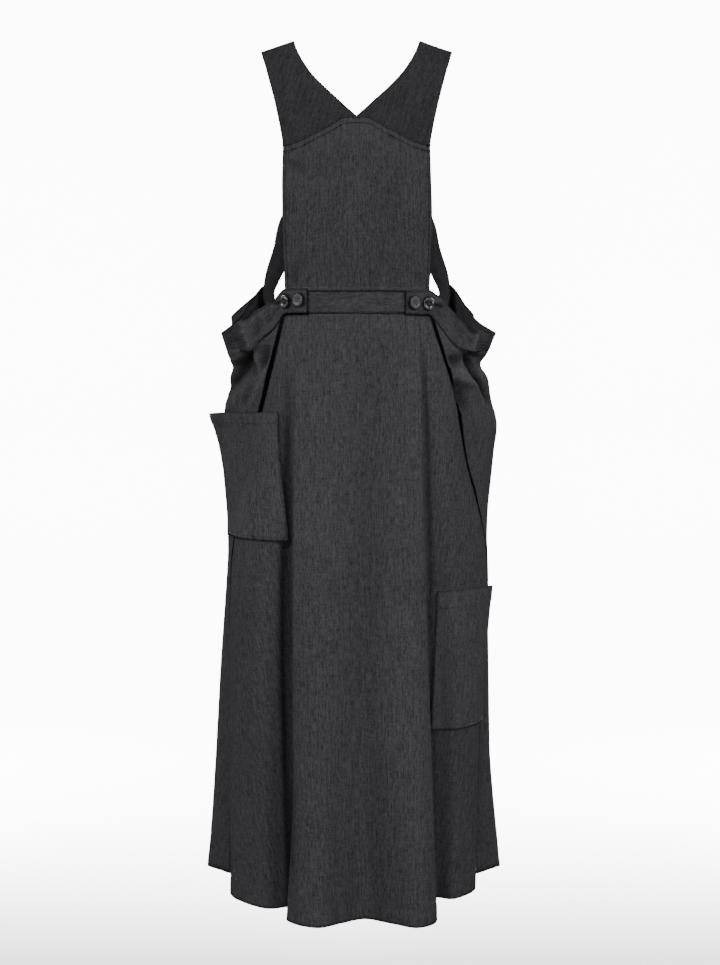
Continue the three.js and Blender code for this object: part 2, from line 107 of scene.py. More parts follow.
# Skirt back: name, then x and y at hip, low hip, thigh, knee and hem
SKIRT_BACK = [
    ("left_wrap", -133, -70, -158, -35, -189, 27, -193, 68, -198, 108),
    ("left_front_rise", -153, -57, -170, -24, -192, 40, -199, 82, -208, 122),
    ("left_front_fall", -162, -44, -180, -9, -194, 53, -204, 95, -218, 134),
    ("left_crease", -170, -28, -190, 8, -195, 66, -209, 107, -228, 146),
    ("left_tip", -188, -8, -199, 30, -195, 84, -211, 124, -233, 158),
    ("left_return", -190, 26, -201, 56, -189, 108, -203, 150, -221, 188),
    ("left_valley_front", -186, 44, -199, 71, -181, 120, -191, 160, -206, 196),
    ("left_valley_back", -176, 72, -186, 96, -165, 133, -167, 166, -182, 201),
    ("left_back_tip", -173, 98, -171, 112, -142, 141, -143, 158, -157, 177),
    ("left_back_turn", -160, 116, -150, 124, -125, 146, -124, 160, -133, 176),
    ("left_back_fall", -124, 124, -114, 133, -92, 151, -92, 173, -96, 207),
    ("left_back", -60, 122, -56, 136, -46, 154, -47, 175, -50, 211),
    ("centre_back", 0, 117, 0, 132, 0, 148, -3, 160, -5, 182),
    ("right_back", 60, 122, 56, 136, 46, 154, 43, 174, 44, 206),
    ("right_back_fall", 124, 124, 114, 133, 91, 151, 88, 175, 92, 213),
    ("right_back_turn", 162, 116, 152, 124, 123, 146, 119, 161, 127, 177),
    ("right_back_tip", 176, 98, 173, 112, 140, 141, 138, 157, 151, 176),
    ("right_valley_back", 179, 72, 189, 96, 163, 132, 162, 164, 178, 196),
    ("right_valley_front", 190, 44, 202, 71, 179, 119, 183, 157, 200, 194),
    ("right_return", 195, 26, 204, 56, 187, 107, 193, 147, 213, 189),
    ("right_tip", 193, -8, 203, 30, 193, 84, 200, 119, 224, 156),
    ("right_crease", 177, -28, 195, 8, 196, 64, 199, 102, 216, 143),
    ("right_front_fall", 169, -44, 186, -9, 196, 47, 196, 89, 206, 130),
    ("right_front_rise", 160, -57, 176, -24, 196, 30, 192, 74, 196, 117),
    ("right_wrap", 142, -71, 163, -37, 195, 17, 188, 61, 187, 105),
]

# Skirt front from the right side seam: name, x at the waist, then x and y at the five levels
SKIRT_FRONT = [
    ("right_seam", 104, 137, -75, 159, -42, 194, 10, 186, 51, 182, 97),
    ("right_side", 101, 130, -83, 151, -58, 185, -12, 183, 18, 179, 36),
    ("right_corner", 98, 122, -90, 141, -72, 168, -42, 172, -20, 171, -8),
    ("right_front", 95, 113, -96, 125, -87, 141, -73, 144, -58, 142, -47),
    ("right_inner", 92, 103, -99, 108, -94, 115, -85, 118, -62, 118, -39),
    ("right_fold_back", 89, 93, -100, 95, -98, 97, -92, 99, -75, 99, -54),
    ("right_fold", 87, 89, -110, 90, -117, 95, -128, 104, -143, 113, -159),
    ("right_crest", 66, 68, -116, 70, -126, 75, -146, 81, -174, 86, -200),
    ("right_middle", 35, 38, -118, 40, -127, 44, -142, 48, -162, 50, -178),
    ("centre", 0, 2, -118, 3, -126, 6, -137, 10, -148, 13, -154),
    ("left_middle", -35, -34, -116, -32, -125, -28, -139, -24, -158, -20, -175),
    ("left_crest", -60, -66, -113, -66, -123, -62, -142, -58, -170, -56, -200),
    ("left_fold", -76, -83, -109, -86, -114, -88, -125, -92, -140, -98, -159),
    ("left_fold_back", -82, -89, -106, -92, -104, -92, -99, -86, -86, -80, -76),
    ("left_inner", -87, -97, -104, -106, -100, -113, -96, -112, -92, -104, -92),
    ("left_front", -92, -106, -99, -121, -91, -139, -82, -143, -84, -135, -97),
    ("left_corner", -96, -114, -92, -136, -76, -167, -48, -180, -32, -181, -37),
    ("left_side", -99, -121, -83, -145, -60, -180, -15, -189, 10, -189, 30),
    ("left_seam", -102, -127, -75, -152, -42, -187, 20, -190, 60, -193, 102),
]

# Where the slits close: level, how many folds the skirt back reaches past its wrap
SLIT_CLOSING = [(0, 0), (1.42, 0), (1.75, 0.96), (5, 0.96)]

# The front reaches past its seams by this share of it, and lies this far underneath
FRONT_LAP = 0.3
LAP_DEPTH = 1.7

# Density of the columns of the skirt back by fold, closer where the front creases are
BACK_COLUMNS = [(0, 3), (6, 3), (8, 1), (16, 1), (18, 3), (24, 3)]
BACK_ROW_POWER = 1.6
SKIRT_LENGTH = 850.0

# How the back's sides are drawn in or pushed out: z, reach, x from where to where, share left, share right
SIDE_DRAWS = [(-465, 14, 120, 180, -0.04, -0.06), (-552, 30, 120, 190, 0.012, 0.03)]

# Bodice front: z, y at the centre, y at 105 mm to the side
BODICE_DEPTH = [
    (8, 5, 5),
    (7, 0, 0),
    (2, -18, -18),
    (-15, -42, -40),
    (-50, -72, -66),
    (-95, -91, -82),
    (-150, -104, -88),
    (-230, -112, -88),
    (-300, -112, -84),
    (-360, -108, -80),
    (-400, -108, -80),
]
BODICE_HALF_WIDTH = 105.0
BODICE_ROUNDNESS = 3.5

# Front edges: x, z; the bib's sides: z, left x, right x; the waistband's box: x, x, top z, bottom z
NECKLINE = [
    (-92, 7), (-83, -19), (-66, -49), (-45, -73), (-27, -90),
    (-13, -103.5), (-1.4, -114), (-0.4, -115.2), (-0.4, -117.3),
]
ARMHOLE = [(-140, -10), (-128, -50), (-115, -100), (-106.5, -142), (-104.5, -157)]
YOKE_SEAM = [(-104.5, -157), (-84, -152), (-61, -141), (-40, -130.5), (-19, -118.5), (-0.4, -117.3)]
BIB_SIDES = [
    (-157.4, -104.5, 104.5), (-215, -105.8, 106.3), (-270, -105.5, 107.3),
    (-320, -103.8, 105.8), (-358.4, -102.5, 104),
]
WAISTBAND_BOX = (-102, 103, -358.8, -395.3)
BIB_STITCH_DROP = 8.0
BIB_SIDE_HEM = 4.5
BIB_ROWS = [(0, 5), (0.08, 5), (0.12, 1), (1, 1)]

# Stitch lines of the waistbands, in from their long edges
FRONT_STITCH_INSET = 2.2
BACK_STITCH_INSET = 2.3
BAND_HEIGHT = 38.0

# Pinches of the back waistband, by column: ridge place and height, droop place, depth and width, dent place
BAND_PINCHES = [(6.0, 4.0, 5.6, 5, 0.3, 6.6), (24.0, 4.5, 24.3, 12, 0.34, 23.4)]
RIDGE_WIDTH = 0.13
# Painted highlight along each pinch ridge: strength, and width in columns
RIDGE_PAINTED_HIGHLIGHT = 16.0
RIDGE_PAINTED_HIGHLIGHT_WIDTH = 0.06
DENT_DEPTH = 3.0
DENT_WIDTH = 0.35

# Back strap from the left shoulder to the right side: x, y, z, turn and lift in degrees
STRAP = [
    (-116, 1.0, -1.5, -90, 70.5),
    (-116, 10, -1.8, -82, 70),
    (-111, 34, -14, -25, 62),
    (-93, 68, -46, -8, 34),
    (-56, 99, -96, -4, 14),
    (0, 113, -155, 0, 4),
    (58, 110.5, -203, 24, 0),
    (99, 94, -254, 50, -2),
    (115, 77.5, -300, 66, -2),
    (130, 63, -342, 74, 0),
    (131.6, 61.5, -370, 73.5, 0),
]
STRAP_CROSSING_RISE = 6.5
STRAP_CROSSING_Z = -155.0
STRAP_CROSSING_REACH = 70.0
STRAP_WIDTH = 50.0

# Pockets: share of the height, level, near fold, far fold, stand-off near and far
HIP_POCKET = [
    (0, 1.36, 14.8, 23.8, 2.8, 20),
    (0.25, 1.7, 14.5, 23.2, 2.8, 10),
    (0.6, 2.2, 13.9, 22.3, 2.8, 3.5),
    (1, 2.78, 13.2, 21, 2.8, 2.8),
]
THIGH_POCKET = [
    (0, 3.15, 4.05, 0.2, 2.8, 8),
    (0.25, 3.37, 4.15, 0.3, 2.8, 4.5),
    (0.6, 3.66, 4.3, 0.5, 2.8, 2.8),
    (1, 3.98, 4.5, 0.8, 2.8, 2.8),
]
HIP_POCKET_GAPE = (-4.0, -2.0, -6.5)
POCKET_HEM = 26.0
POCKET_HEM_RISE = 0.6
POCKET_STITCH_INSET = 3.0

# Buttons: name, x on the waistband, z, and the lean in degrees that the shank allows
BUTTONS = [
    ("button_left_outer", -98.5, -377, -13),
    ("button_left_inner", -80.5, -375.5, -14),
    ("button_right_inner", 80, -379, 15),
    ("button_right_outer", 99, -380, -12),
]
BUTTON_RADIUS = 9.0
BUTTON_SHANK = 0.8
BUTTON_HOLE_PLACE = 2.1
BUTTON_HOLE_RADIUS = 1.1
BUTTON_HOLE_Y = -1.5
BUTTON_HOLE_DEPTH = 8.0
THREAD_Y = -2.35
THREAD_HALF_SIZE = (3.3, 0.45, 0.5)

# Section of a button from the middle of its back to the middle of its face: radius, y
BUTTON_PROFILE = [
    (0, 0), (7.6, 0), (8.4, -0.3), (8.9, -1.0), (9.0, -1.8), (8.7, -2.6), (8.0, -3.15), (7.2, -3.2),
    (6.5, -2.9), (6.0, -2.45), (4.6, -2.2), (2.6, -2.1), (0, -2.1),
]

# Buttonholes: start and end column of the band, share of its height, drop from start to end
BUTTONHOLES = [(2.2, 3.35, 0.42, 0.06), (27.8, 26.65, 0.40, 0.08)]
BUTTONHOLE_HALF = 0.035

# Painted shade in the buttonhole slits, as creases that only darken the cloth's colour
BUTTONHOLE_SHADE_LINES = [
    (-14, 2.2, [(-119, -381), (-101, -375.8)]),
    (-14, 2.2, [(104, -378.2), (124, -384.6)]),
]

# Creases: height, width, then the line as x, z points, or y, z points for the sides; minus is a trough
CREASE_END = 0.02
CREASE_FULLNESS = 0.6
FRONT_CREASES = [
    (-3.2, 4, [(94, -425), (96.5, -500), (100, -600), (104, -760), (109, -1000), (117, -1215)]),
    (1.6, 5, [(86, -425), (88, -500), (91, -600), (95, -760), (102, -1000), (110, -1215)]),
    (-8, 8, [(-97, -470), (-101, -560), (-102, -700), (-101, -900), (-96, -1100), (-92, -1240)]),
    (1.8, 5, [(-80, -440), (-83, -500), (-86, -600), (-88, -760), (-91, -1000), (-97, -1220)]),
    (1.2, 14, [(-40, -420), (-44, -600), (-40, -900), (-30, -1200)]),
    (-1.6, 22, [(20, -430), (18, -620), (12, -900), (16, -1200)]),
    (1.2, 12, [(52, -600), (56, -860), (62, -1220)]),
    (-1.0, 9, [(-10, -900), (-22, -1050), (-30, -1220)]),
    (-0.9, 6, [(112, -412), (118, -470), (127, -540)]),
]
HIP_CREASES = [
    (-13, 9, [(-152, -438), (-160, -459), (-173, -478), (-192, -509)]),
    (4.5, 3.5, [(-151, -438), (-147, -452), (-142, -484)]),
    (-9, 8, [(-130, -436), (-134, -458), (-137, -474)]),
    (-5, 8, [(-151, -462), (-147, -486)]),
    (4.5, 6, [(-118, -436), (-128, -468), (-139, -497), (-159, -531)]),
    (-4, 6, [(-150, -495), (-165, -528)]),
    (3.5, 6, [(-165, -500), (-184, -531)]),
    (3, 12, [(-176, -452), (-171, -462)]),
    (-3.5, 5, [(-195, -530), (-188, -545), (-176, -556)]),
    (-11, 4.2, [(153, -448), (166, -470), (180, -495), (197, -529)]),
    (5, 6, [(143, -453), (157, -481), (175, -505), (191, -530)]),
    (-9, 7, [(135, -452), (143, -461), (152, -464)]),
    (4, 5, [(132, -466), (143, -484), (156, -492), (175, -498)]),
    (-8, 11, [(136, -490), (147, -508), (158, -540)]),
    (-5, 5, [(162, -448), (178, -458)]),
    (2, 9, [(190, -560), (180, -600), (176, -660)]),
]
BACK_CREASES = [
    (5, 9, [(-62, -408), (-67, -500), (-72, -640)]),
    (-6, 8, [(-46, -410), (-50, -520), (-52, -700)]),
    (3, 7, [(-30, -410), (-33, -480), (-35, -560)]),
    (-5, 9, [(-8, -410), (-12, -520), (-14, -660)]),
    (4.5, 10, [(14, -410), (18, -560), (20, -820)]),
    (-6, 8, [(34, -410), (40, -540), (43, -720)]),
    (3.5, 8, [(54, -410), (60, -500), (64, -590)]),
    (-5, 9, [(76, -412), (84, -500), (88, -640)]),
    (-6, 9, [(-84, -412), (-92, -500), (-94, -620)]),
    (4, 8, [(-100, -420), (-112, -480), (-122, -540)]),
    (4, 8, [(98, -420), (108, -470), (120, -520)]),
    (-5, 9, [(118, -436), (138, -480), (160, -520)]),
    (-5, 9, [(-118, -440), (-138, -482), (-158, -516)]),
    (-4, 14, [(-64, -760), (-70, -960), (-76, -1230)]),
    (3, 20, [(10, -900), (4, -1060), (8, -1230)]),
    (-4, 14, [(62, -840), (66, -1040), (70, -1230)]),
]
LEFT_SIDE_CREASES = [
    (-6, 8, [(38, -446), (52, -540), (70, -700)]),
    (4.5, 8, [(58, -440), (74, -540), (92, -680)]),
    (-5, 8, [(84, -425), (94, -500), (108, -620)]),
    (4, 12, [(84, -740), (104, -950), (130, -1180)]),
    (-5, 12, [(118, -760), (138, -960), (166, -1200)]),
]
RIGHT_SIDE_CREASES = [
    (-6, 8, [(30, -446), (50, -560), (78, -760)]),
    (4.5, 9, [(52, -440), (66, -520), (82, -620)]),
    (-5, 8, [(78, -425), (88, -480), (98, -560)]),
    (4, 12, [(70, -760), (96, -980), (120, -1200)]),
    (-5, 12, [(112, -700), (130, -900), (158, -1180)]),
]
BAND_FRONT_CREASES = [
    (-1.6, 2.6, [(-110, -379), (-118, -376), (-127, -379)]),
    (1.2, 2.4, [(-110, -382), (-119, -383), (-126, -387)]),
    (-1.2, 2.4, [(-109, -386), (-116, -391), (-121, -398)]),
    (1.0, 2.6, [(-112, -373), (-120, -371), (-130, -372)]),
    (-1.5, 2.6, [(111, -382), (119, -381), (128, -385)]),
    (1.1, 2.4, [(110, -378), (119, -375), (126, -378)]),
    (-1.2, 2.4, [(110, -387), (117, -393), (121, -400)]),
    (-2.4, 6, [(-134, -402), (-142, -412), (-146, -428)]),
    (-1.6, 5, [(-122, -398), (-128, -410)]),
    (1.4, 7, [(-150, -404), (-160, -424)]),
    (-1.8, 5, [(-176, -428), (-166, -437), (-158, -436)]),
    (1.6, 4, [(-180, -436), (-170, -443)]),
    (-1.6, 7, [(136, -398), (146, -412), (152, -430)]),
    (1.4, 6, [(126, -398), (136, -420)]),
    (-1.5, 5, [(160, -430), (170, -440)]),
    (1.2, 6, [(184, -420), (190, -436)]),
]
BAND_BACK_CREASES = [
    (-2.6, 5, [(-46, -372), (-46, -416)]),
    (1.8, 7, [(-62, -376), (-64, -416)]),
    (-2.2, 5, [(-10, -370), (-9, -414)]),
    (1.8, 7, [(16, -372), (15, -414)]),
    (-2.6, 5, [(36, -372), (35, -416)]),
    (-2.2, 6, [(80, -378), (78, -418)]),
    (2.0, 6, [(-100, -380), (-102, -422)]),
]
BIB_CREASES = [
    (1.8, 4, [(-97, -352), (-95, -330), (-88, -306)]),
    (-1.8, 5, [(-90, -350), (-86, -328), (-78, -306)]),
    (1.8, 4, [(-86, -352), (-74, -336), (-68, -320)]),
    (-1.6, 5, [(-76, -352), (-64, -336)]),
    (-2.0, 8, [(-96, -176), (-84, -182), (-66, -194)]),
    (1.8, 8, [(-94, -188), (-76, -200), (-66, -220)]),
    (1.0, 9, [(-60, -168), (-50, -210), (-48, -250)]),
    (-1.2, 10, [(60, -170), (54, -215), (50, -260)]),
    (-1.3, 6, [(94, -350), (82, -336), (66, -330)]),
    (1.4, 16, [(2, -140), (0, -220), (4, -330)]),
]


# Curves and forms
def between(a, b, c, d, f):
    """Smooth curve at share f of the way from b to c, with a before them and d after them."""
    s0, s1, rise = (c - a) / 2, (d - b) / 2, c - b
    return (((s0 + s1 - 2 * rise) * f + 3 * rise - 2 * s0 - s1) * f + s0) * f + b


def smooth(rows, at, closed=False):
    """Smooth curve through the rows at the given positions, where a whole number is a row."""
    rows = np.asarray(rows, float)
    at = np.atleast_1d(np.asarray(at, float))
    n = len(rows)
    last = n if closed else n - 1
    t = at % n if closed else np.clip(at, 0, last)
    start = np.minimum(np.floor(t).astype(int), last - (0 if closed else 1))
    if closed:
        near = [rows[(start + k) % n] for k in (-1, 0, 1, 2)]
    else:
        full = np.vstack([2 * rows[0] - rows[1], rows, 2 * rows[-1] - rows[-2]])
        near = [full[start + k] for k in range(4)]
    return between(*near, (t - start)[:, None])


def smooth_table(table, x):
    """Smooth curve through a table by the value in its first column."""
    rows = np.asarray(table, float)
    if rows[0, 0] > rows[-1, 0]:
        rows = rows[::-1]
    x = np.atleast_1d(np.asarray(x, float))
    at = np.interp(x, rows[:, 0], np.arange(len(rows)))
    return smooth(rows[:, 1:], at)


def bodice(x, z, lift=0.0):
    """Points of the bodice front at x and z; lift shifts the depth's height."""
    x, z = np.broadcast_arrays(np.asarray(x, float), np.asarray(z, float))
    depth = smooth_table(BODICE_DEPTH, (z + lift).ravel())
    share = np.abs(x.ravel() / BODICE_HALF_WIDTH) ** BODICE_ROUNDNESS
    y = depth[:, 0] + (depth[:, 1] - depth[:, 0]) * share
    return np.stack([x.ravel(), y, z.ravel()], -1).reshape(x.shape + (3,))


def bodice_out(x, z):
    """Level direction straight out of the bodice front."""
    slope = bodice(x + 0.5, z) - bodice(x - 0.5, z)
    return unit(np.cross(slope, [0, 0, 1.0]))


def on_waistband(x, z, off):
    return bodice(x, z) + bodice_out(x, z) * off


def tab_rows(rows):
    """Top and bottom of each column of a tab, off the front waistband."""
    ends = [[on_waistband(x, z, TAB_STAND_OFF) for z in (top, low)] for x, top, low in rows]
    return [np.concatenate(pair) for pair in ends]


def unit(v):
    return v / np.maximum(np.linalg.norm(v, axis=-1, keepdims=True), 1e-9)


def fade(x, low, high):
    """Soft step from 0 at low to 1 at high."""
    t = np.clip((x - low) / (high - low), 0, 1)
    return t * t * (3 - 2 * t)


def bell(x, width):
    return np.exp(-((x / width) ** 2))


band_rows = np.array(tab_rows(LEFT_TAB) + [np.array(r[1:], float) for r in BAND] + tab_rows(RIGHT_TAB))
LEFT_SEAM = len(SKIRT_FRONT) - 1
LEFT_WRAP = len(SKIRT_FRONT)
RIGHT_WRAP = LEFT_WRAP + len(SKIRT_BACK) - 1
waist_x = np.array([[r[1]] for r in SKIRT_FRONT], float)


def ring_levels():
    """Skirt points by level and fold: the front folds from the right seam, then the back ones."""
    rows = []
    for r in SKIRT_FRONT:
        rows.append([bodice(r[1], WAIST_Z)] + [(r[2 + 2 * k], r[3 + 2 * k], z) for k, z in enumerate(LEVEL_Z)])
    for i, r in enumerate(SKIRT_BACK):
        top = band_rows[i + len(LEFT_TAB)][3:] - [0, 0, BAND_SEAM_GAP]
        rows.append([top] + [(r[1 + 2 * k], r[2 + 2 * k], z) for k, z in enumerate(LEVEL_Z)])
    return np.array([[np.array(p, float) for p in row] for row in rows]).transpose(1, 0, 2)


RING = ring_levels()


def ring(folds, level):
    """Points of the skirt ring at an array of folds and one level."""
    folds = np.asarray(folds, float)
    at = [smooth(row, folds, True) for row in RING]
    front = folds <= LEFT_SEAM
    if front.any():
        at[0][front] = bodice(smooth(waist_x, folds[front])[:, 0], WAIST_Z)
    back = (folds > LEFT_WRAP) & (folds < RIGHT_WRAP)
    if back.any():
        along_band = folds[back] - LEFT_WRAP + len(LEFT_TAB)
        at[0][back] = smooth(band_rows[:, 3:], along_band) - [0, 0, BAND_SEAM_GAP]
    stack = np.array(at)
    full = np.concatenate([[2 * stack[0] - stack[1]], stack, [2 * stack[-1] - stack[-2]]])
    level = min(max(level, 0), LAST_LEVEL)
    k = min(int(level), LAST_LEVEL - 1)
    return between(*full[k : k + 4], level - k)


def slit_closing(levels):
    """How many folds each edge of the skirt back reaches past the wrap, closing the slit."""
    return np.interp(levels, *zip(*SLIT_CLOSING))


def spread(density, count):
    """Positions from 0 to the end of a density table, closer where it is higher."""
    x = np.linspace(0, density[-1][0], 2001)
    total = np.concatenate([[0], np.cumsum(np.interp(x[1:], *zip(*density)))])
    return np.interp(np.linspace(0, 1, count), total / total[-1], x)


def normals(p):
    """Normals of a grid of points, rows down and columns across."""
    return unit(np.cross(np.gradient(p, axis=1), np.gradient(p, axis=0)))


def lifted(p, height):
    """A grid moved along its normals."""
    return p + normals(p) * height[..., None]


def value_noise(seed, x, y):
    """Soft noise from -1 to 1 on a grid of unit cells, the same each run."""
    cells = 64
    table = np.random.default_rng(seed).uniform(-1, 1, (cells, cells))
    xi, yi = np.floor(x).astype(int), np.floor(y).astype(int)
    fx, fy = fade(x - xi, 0, 1), fade(y - yi, 0, 1)
    g = lambda i, j: table[(xi + i) % cells, (yi + j) % cells]
    return (g(0, 0) * (1 - fx) + g(1, 0) * fx) * (1 - fy) + (g(0, 1) * (1 - fx) + g(1, 1) * fx) * fy


def ripple(p, seed, width, length, height, across=0, down=2):
    """Faint uneven waves of a grid, by two of its coordinates."""
    return value_noise(seed, p[..., across] / width, p[..., down] / length) * height


def creases(p, rows, axis=0):
    """Height of creases: each row is height, width, and a line of points; minus is a trough.

    The points are x, z pairs, or y, z pairs where axis is 1."""
    height = np.zeros(p.shape[:2])
    x, z = p[..., axis], p[..., 2]
    for rise, width, line in rows:
        best = np.full(x.shape, np.inf)
        along = np.zeros(x.shape)
        total = len(line) - 1
        for k in range(total):
            (ax, az), (bx, bz) = line[k], line[k + 1]
            dx, dz = bx - ax, bz - az
            t = np.clip(((x - ax) * dx + (z - az) * dz) / (dx * dx + dz * dz), 0, 1)
            dist = np.hypot(x - ax - t * dx, z - az - t * dz)
            nearer = dist < best
            best = np.where(nearer, dist, best)
            along = np.where(nearer, (k + t) / total, along)
        ends = np.sin(np.clip(along, CREASE_END, 1 - CREASE_END) * np.pi) ** CREASE_FULLNESS
        height += rise * ends * bell(best, width)
    return height


# Cloth
pieces = {}
FAR = 40.0
# Marks kept on the cloth for its painted shade and highlight, with their values where nothing is given
MARKS = {"seam": FAR, "shade": FAR, "fold": 0.0}


def arc(p):
    """Length along each row of a grid from its first column."""
    steps = np.linalg.norm(np.diff(p, axis=1), axis=-1)
    return np.concatenate([np.zeros((len(p), 1)), np.cumsum(steps, axis=1)], 1)


def flat_coordinates(p, flat, grain):
    """Cloth coordinates in metres: measured on the grid, spread over its flat size, or seen from the front."""
    rows, columns = p.shape[:2]
    if grain == "flat":
        return np.stack(np.meshgrid(np.linspace(0, flat[0], columns), np.linspace(0, flat[1], rows)), -1)
    if grain == "plane":
        return np.stack([p[..., 0], -p[..., 2]], -1) * MM
    middle = columns // 2
    across = arc(p)
    across -= across[:, middle : middle + 1]
    down = arc(p[None, :, middle])[0]
    return np.stack([across, np.broadcast_to(down[:, None], across.shape)], -1) * MM


def tucked(p, n, end, length):
    """Rows that carry a seam allowance under the neighbouring piece."""
    if not length:
        return p[:0]
    edge, near, out = (p[0], p[2], n[0]) if end == 0 else (p[-1], p[-3], n[-1])
    ahead = unit(edge - near)
    rows = [edge + ahead * length * a - out * TUCK_DEPTH * b for a, b in TUCK_ROWS]
    return np.stack(rows[::-1] if end == 0 else rows)


def turned_hem(p, pucker, seed):
    """Lifts the lowest strip of a panel as a turned hem, drawn in along its stitches.

    Gives the points and their distance from the stitches."""
    above = arc(p[::-1].transpose(1, 0, 2)).T[::-1]
    along = arc(p)
    from_line = above - HEM_WIDTH
    strip = 1 - fade(from_line, -2, 2)
    wave = sum(
        share * value_noise(seed + k, along / length, above / height)
        for k, (share, length, height) in enumerate(HEM_PUCKERS)
    )
    pulled = (bell(from_line, PUCKER_REACH) + strip * PUCKER_UNDER) * wave * pucker
    return lifted(p, strip * HEM_RISE + pulled - bell(from_line, HEM_GROOVE) * HEM_RISE), np.abs(from_line)


def edge_distance(p):
    """Distance of each point from the nearest of the points that end its row and column."""
    ends = (p[:, :1], p[:, -1:], p[:1], p[-1:])
    return np.minimum.reduce([np.linalg.norm(p - end, axis=-1) for end in ends])


def shell_faces(rows, columns):
    """Faces of a doubled grid: the outer side, the inner side and the four rims."""
    top = np.arange(rows * columns).reshape(rows, columns)
    low = top + rows * columns
    sides = [
        (top[:-1, :-1], top[:-1, 1:], top[1:, 1:], top[1:, :-1]),
        (low[:-1, :-1], low[1:, :-1], low[1:, 1:], low[:-1, 1:]),
        (top[0, 1:], top[0, :-1], low[0, :-1], low[0, 1:]),
        (top[-1, :-1], top[-1, 1:], low[-1, 1:], low[-1, :-1]),
        (top[:-1, 0], top[1:, 0], low[1:, 0], low[:-1, 0]),
        (top[1:, -1], top[:-1, -1], low[:-1, -1], low[1:, -1]),
    ]
    return np.concatenate([np.stack(corners, -1).reshape(-1, 4) for corners in sides])


def new_object(name, data):
    obj = bpy.data.objects.new(name, data)
    bpy.context.collection.objects.link(obj)
    return obj


def add_object(name, mesh):
    """A finished piece in the scene, on the dress's one body."""
    obj = new_object(name, mesh)
    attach(obj, "root")
    return obj


def cloth(
    name, p, thickness, material, slot, node, flat,
    area=None, outward=1.0, tuck=(0, 0), grain="arc", **marks
):
    """A thin shell of cloth on a grid of mid-surface points, with rims and flat coordinates.

    tuck is the length of the seam allowance at the top and at the bottom. Stored at each point, in
    millimetres, for painted shade and highlight: the distance from the edge, from the nearest line of
    stitches (seam) and from what touches the cloth and casts shadow on it (shade), and the height of the crease
    there (fold)."""
    n = normals(p) * outward
    pieces[name] = (p + n * thickness / 2, n)
    above, below = tucked(p, n, 0, tuck[0]), tucked(p, n, -1, tuck[1])
    inner_shape = p.shape[:2]
    p = np.concatenate([above, p, below])
    n = normals(p) * outward
    verts = np.concatenate([p + n * thickness / 2, p - n * thickness / 2]).reshape(-1, 3) * MM
    faces = shell_faces(*p.shape[:2])
    if outward < 0:
        faces = faces[:, ::-1]
    mesh = bpy.data.meshes.new(name)
    mesh.from_pydata(verts.tolist(), [], faces.tolist())
    corners = np.empty(len(mesh.loops), int)
    mesh.loops.foreach_get("vertex_index", corners)
    uv = np.tile(flat_coordinates(p, flat, grain).reshape(-1, 2), (2, 1))
    mesh.uv_layers.new(name="Cloth").data.foreach_set("uv", uv[corners].ravel())
    stored = {"edge": edge_distance(p)}
    for key, plain in MARKS.items():
        given = np.broadcast_to(marks.get(key, plain), inner_shape)
        stored[key] = np.pad(given, ((len(above), len(below)), (0, 0)), mode="edge")
    for key, values in stored.items():
        mesh.attributes.new(key, "FLOAT", "POINT").data.foreach_set("value", np.tile(values.ravel(), 2))
    mesh.polygons.foreach_set("use_smooth", np.ones(len(mesh.polygons), bool))
    mesh.materials.append(material)
    mesh.update()
    obj = add_object(name, mesh)
    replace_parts(obj, node)


def on_piece(name, u, v, off):
    """Points and normals on a piece's outer side at shares u across and v down."""
    outer, n = pieces[name]
    rows, columns = outer.shape[:2]
    x = np.clip(u, 0, 1) * (columns - 1)
    y = np.clip(v, 0, 1) * (rows - 1)
    i, j = np.minimum(x.astype(int), columns - 2), np.minimum(y.astype(int), rows - 2)
    fx, fy = (x - i)[..., None], (y - j)[..., None]

    def mixed(grid):
        upper = grid[j, i] * (1 - fx) + grid[j, i + 1] * fx
        lower = grid[j + 1, i] * (1 - fx) + grid[j + 1, i + 1] * fx
        return upper * (1 - fy) + lower * fy

    out = unit(mixed(n))
    return mixed(outer) + out * off, out


# Shader maths
class Socket:
    """A shader socket or number that takes part in sums and products."""

    def __init__(self, graph, source):
        self.graph, self.source = graph, source

    def maths(self, kind, *others):
        return self.graph.value("ShaderNodeMath", {"operation": kind}, 0, (self, *others))

    def __add__(self, other):
        return self.maths("ADD", other)

    def __sub__(self, other):
        return self.maths("SUBTRACT", other)

    def __mul__(self, other):
        return self.maths("MULTIPLY", other)

    def __rsub__(self, other):
        return Socket(self.graph, other).maths("SUBTRACT", self)

    __radd__ = __add__
    __rmul__ = __mul__


class Graph:
    """A material's nodes, made by type with settings and inputs."""

    def __init__(self, name):
        self.material = bpy.data.materials.new(name)
        self.material.use_nodes = True
        self.tree = self.material.node_tree
        self.tree.nodes.clear()

    def node(self, kind, settings=None, output=0, inputs=()):
        made = self.tree.nodes.new(kind)
        for key, value in (settings or {}).items():
            setattr(made, key, value)
        pairs = inputs.items() if isinstance(inputs, dict) else enumerate(inputs)
        for key, value in pairs:
            source = value.source if isinstance(value, Socket) else value
            if isinstance(source, bpy.types.NodeSocket):
                self.tree.links.new(source, made.inputs[key])
            else:
                made.inputs[key].default_value = source
        return made.outputs[output]

    def value(self, kind, settings=None, output=0, inputs=()):
        return Socket(self, self.node(kind, settings, output, inputs))

    def split(self, vector):
        """The three parts of a vector."""
        apart = self.tree.nodes.new("ShaderNodeSeparateXYZ")
        self.tree.links.new(vector, apart.inputs[0])
        return [Socket(self, part) for part in apart.outputs]

    def noise(self, x, y, detail, seed):
        at = self.value("ShaderNodeCombineXYZ", None, 0, (x, y, seed))
        inputs = {"Vector": at, "Scale": 1.0, "Detail": detail, "Roughness": NOISE_ROUGHNESS}
        return self.value("ShaderNodeTexNoise", {"noise_dimensions": "3D"}, 0, inputs)

    def colour(self, base, level):
        return self.value("ShaderNodeCombineColor", None, 0, [level * part for part in base])

    def finish(self, inputs):
        """The material, as one Principled shader with these inputs."""
        shader = self.value("ShaderNodeBsdfPrincipled", None, 0, inputs)
        out = self.tree.nodes.new("ShaderNodeOutputMaterial")
        self.tree.links.new(shader.source, out.inputs["Surface"])
        return self.material


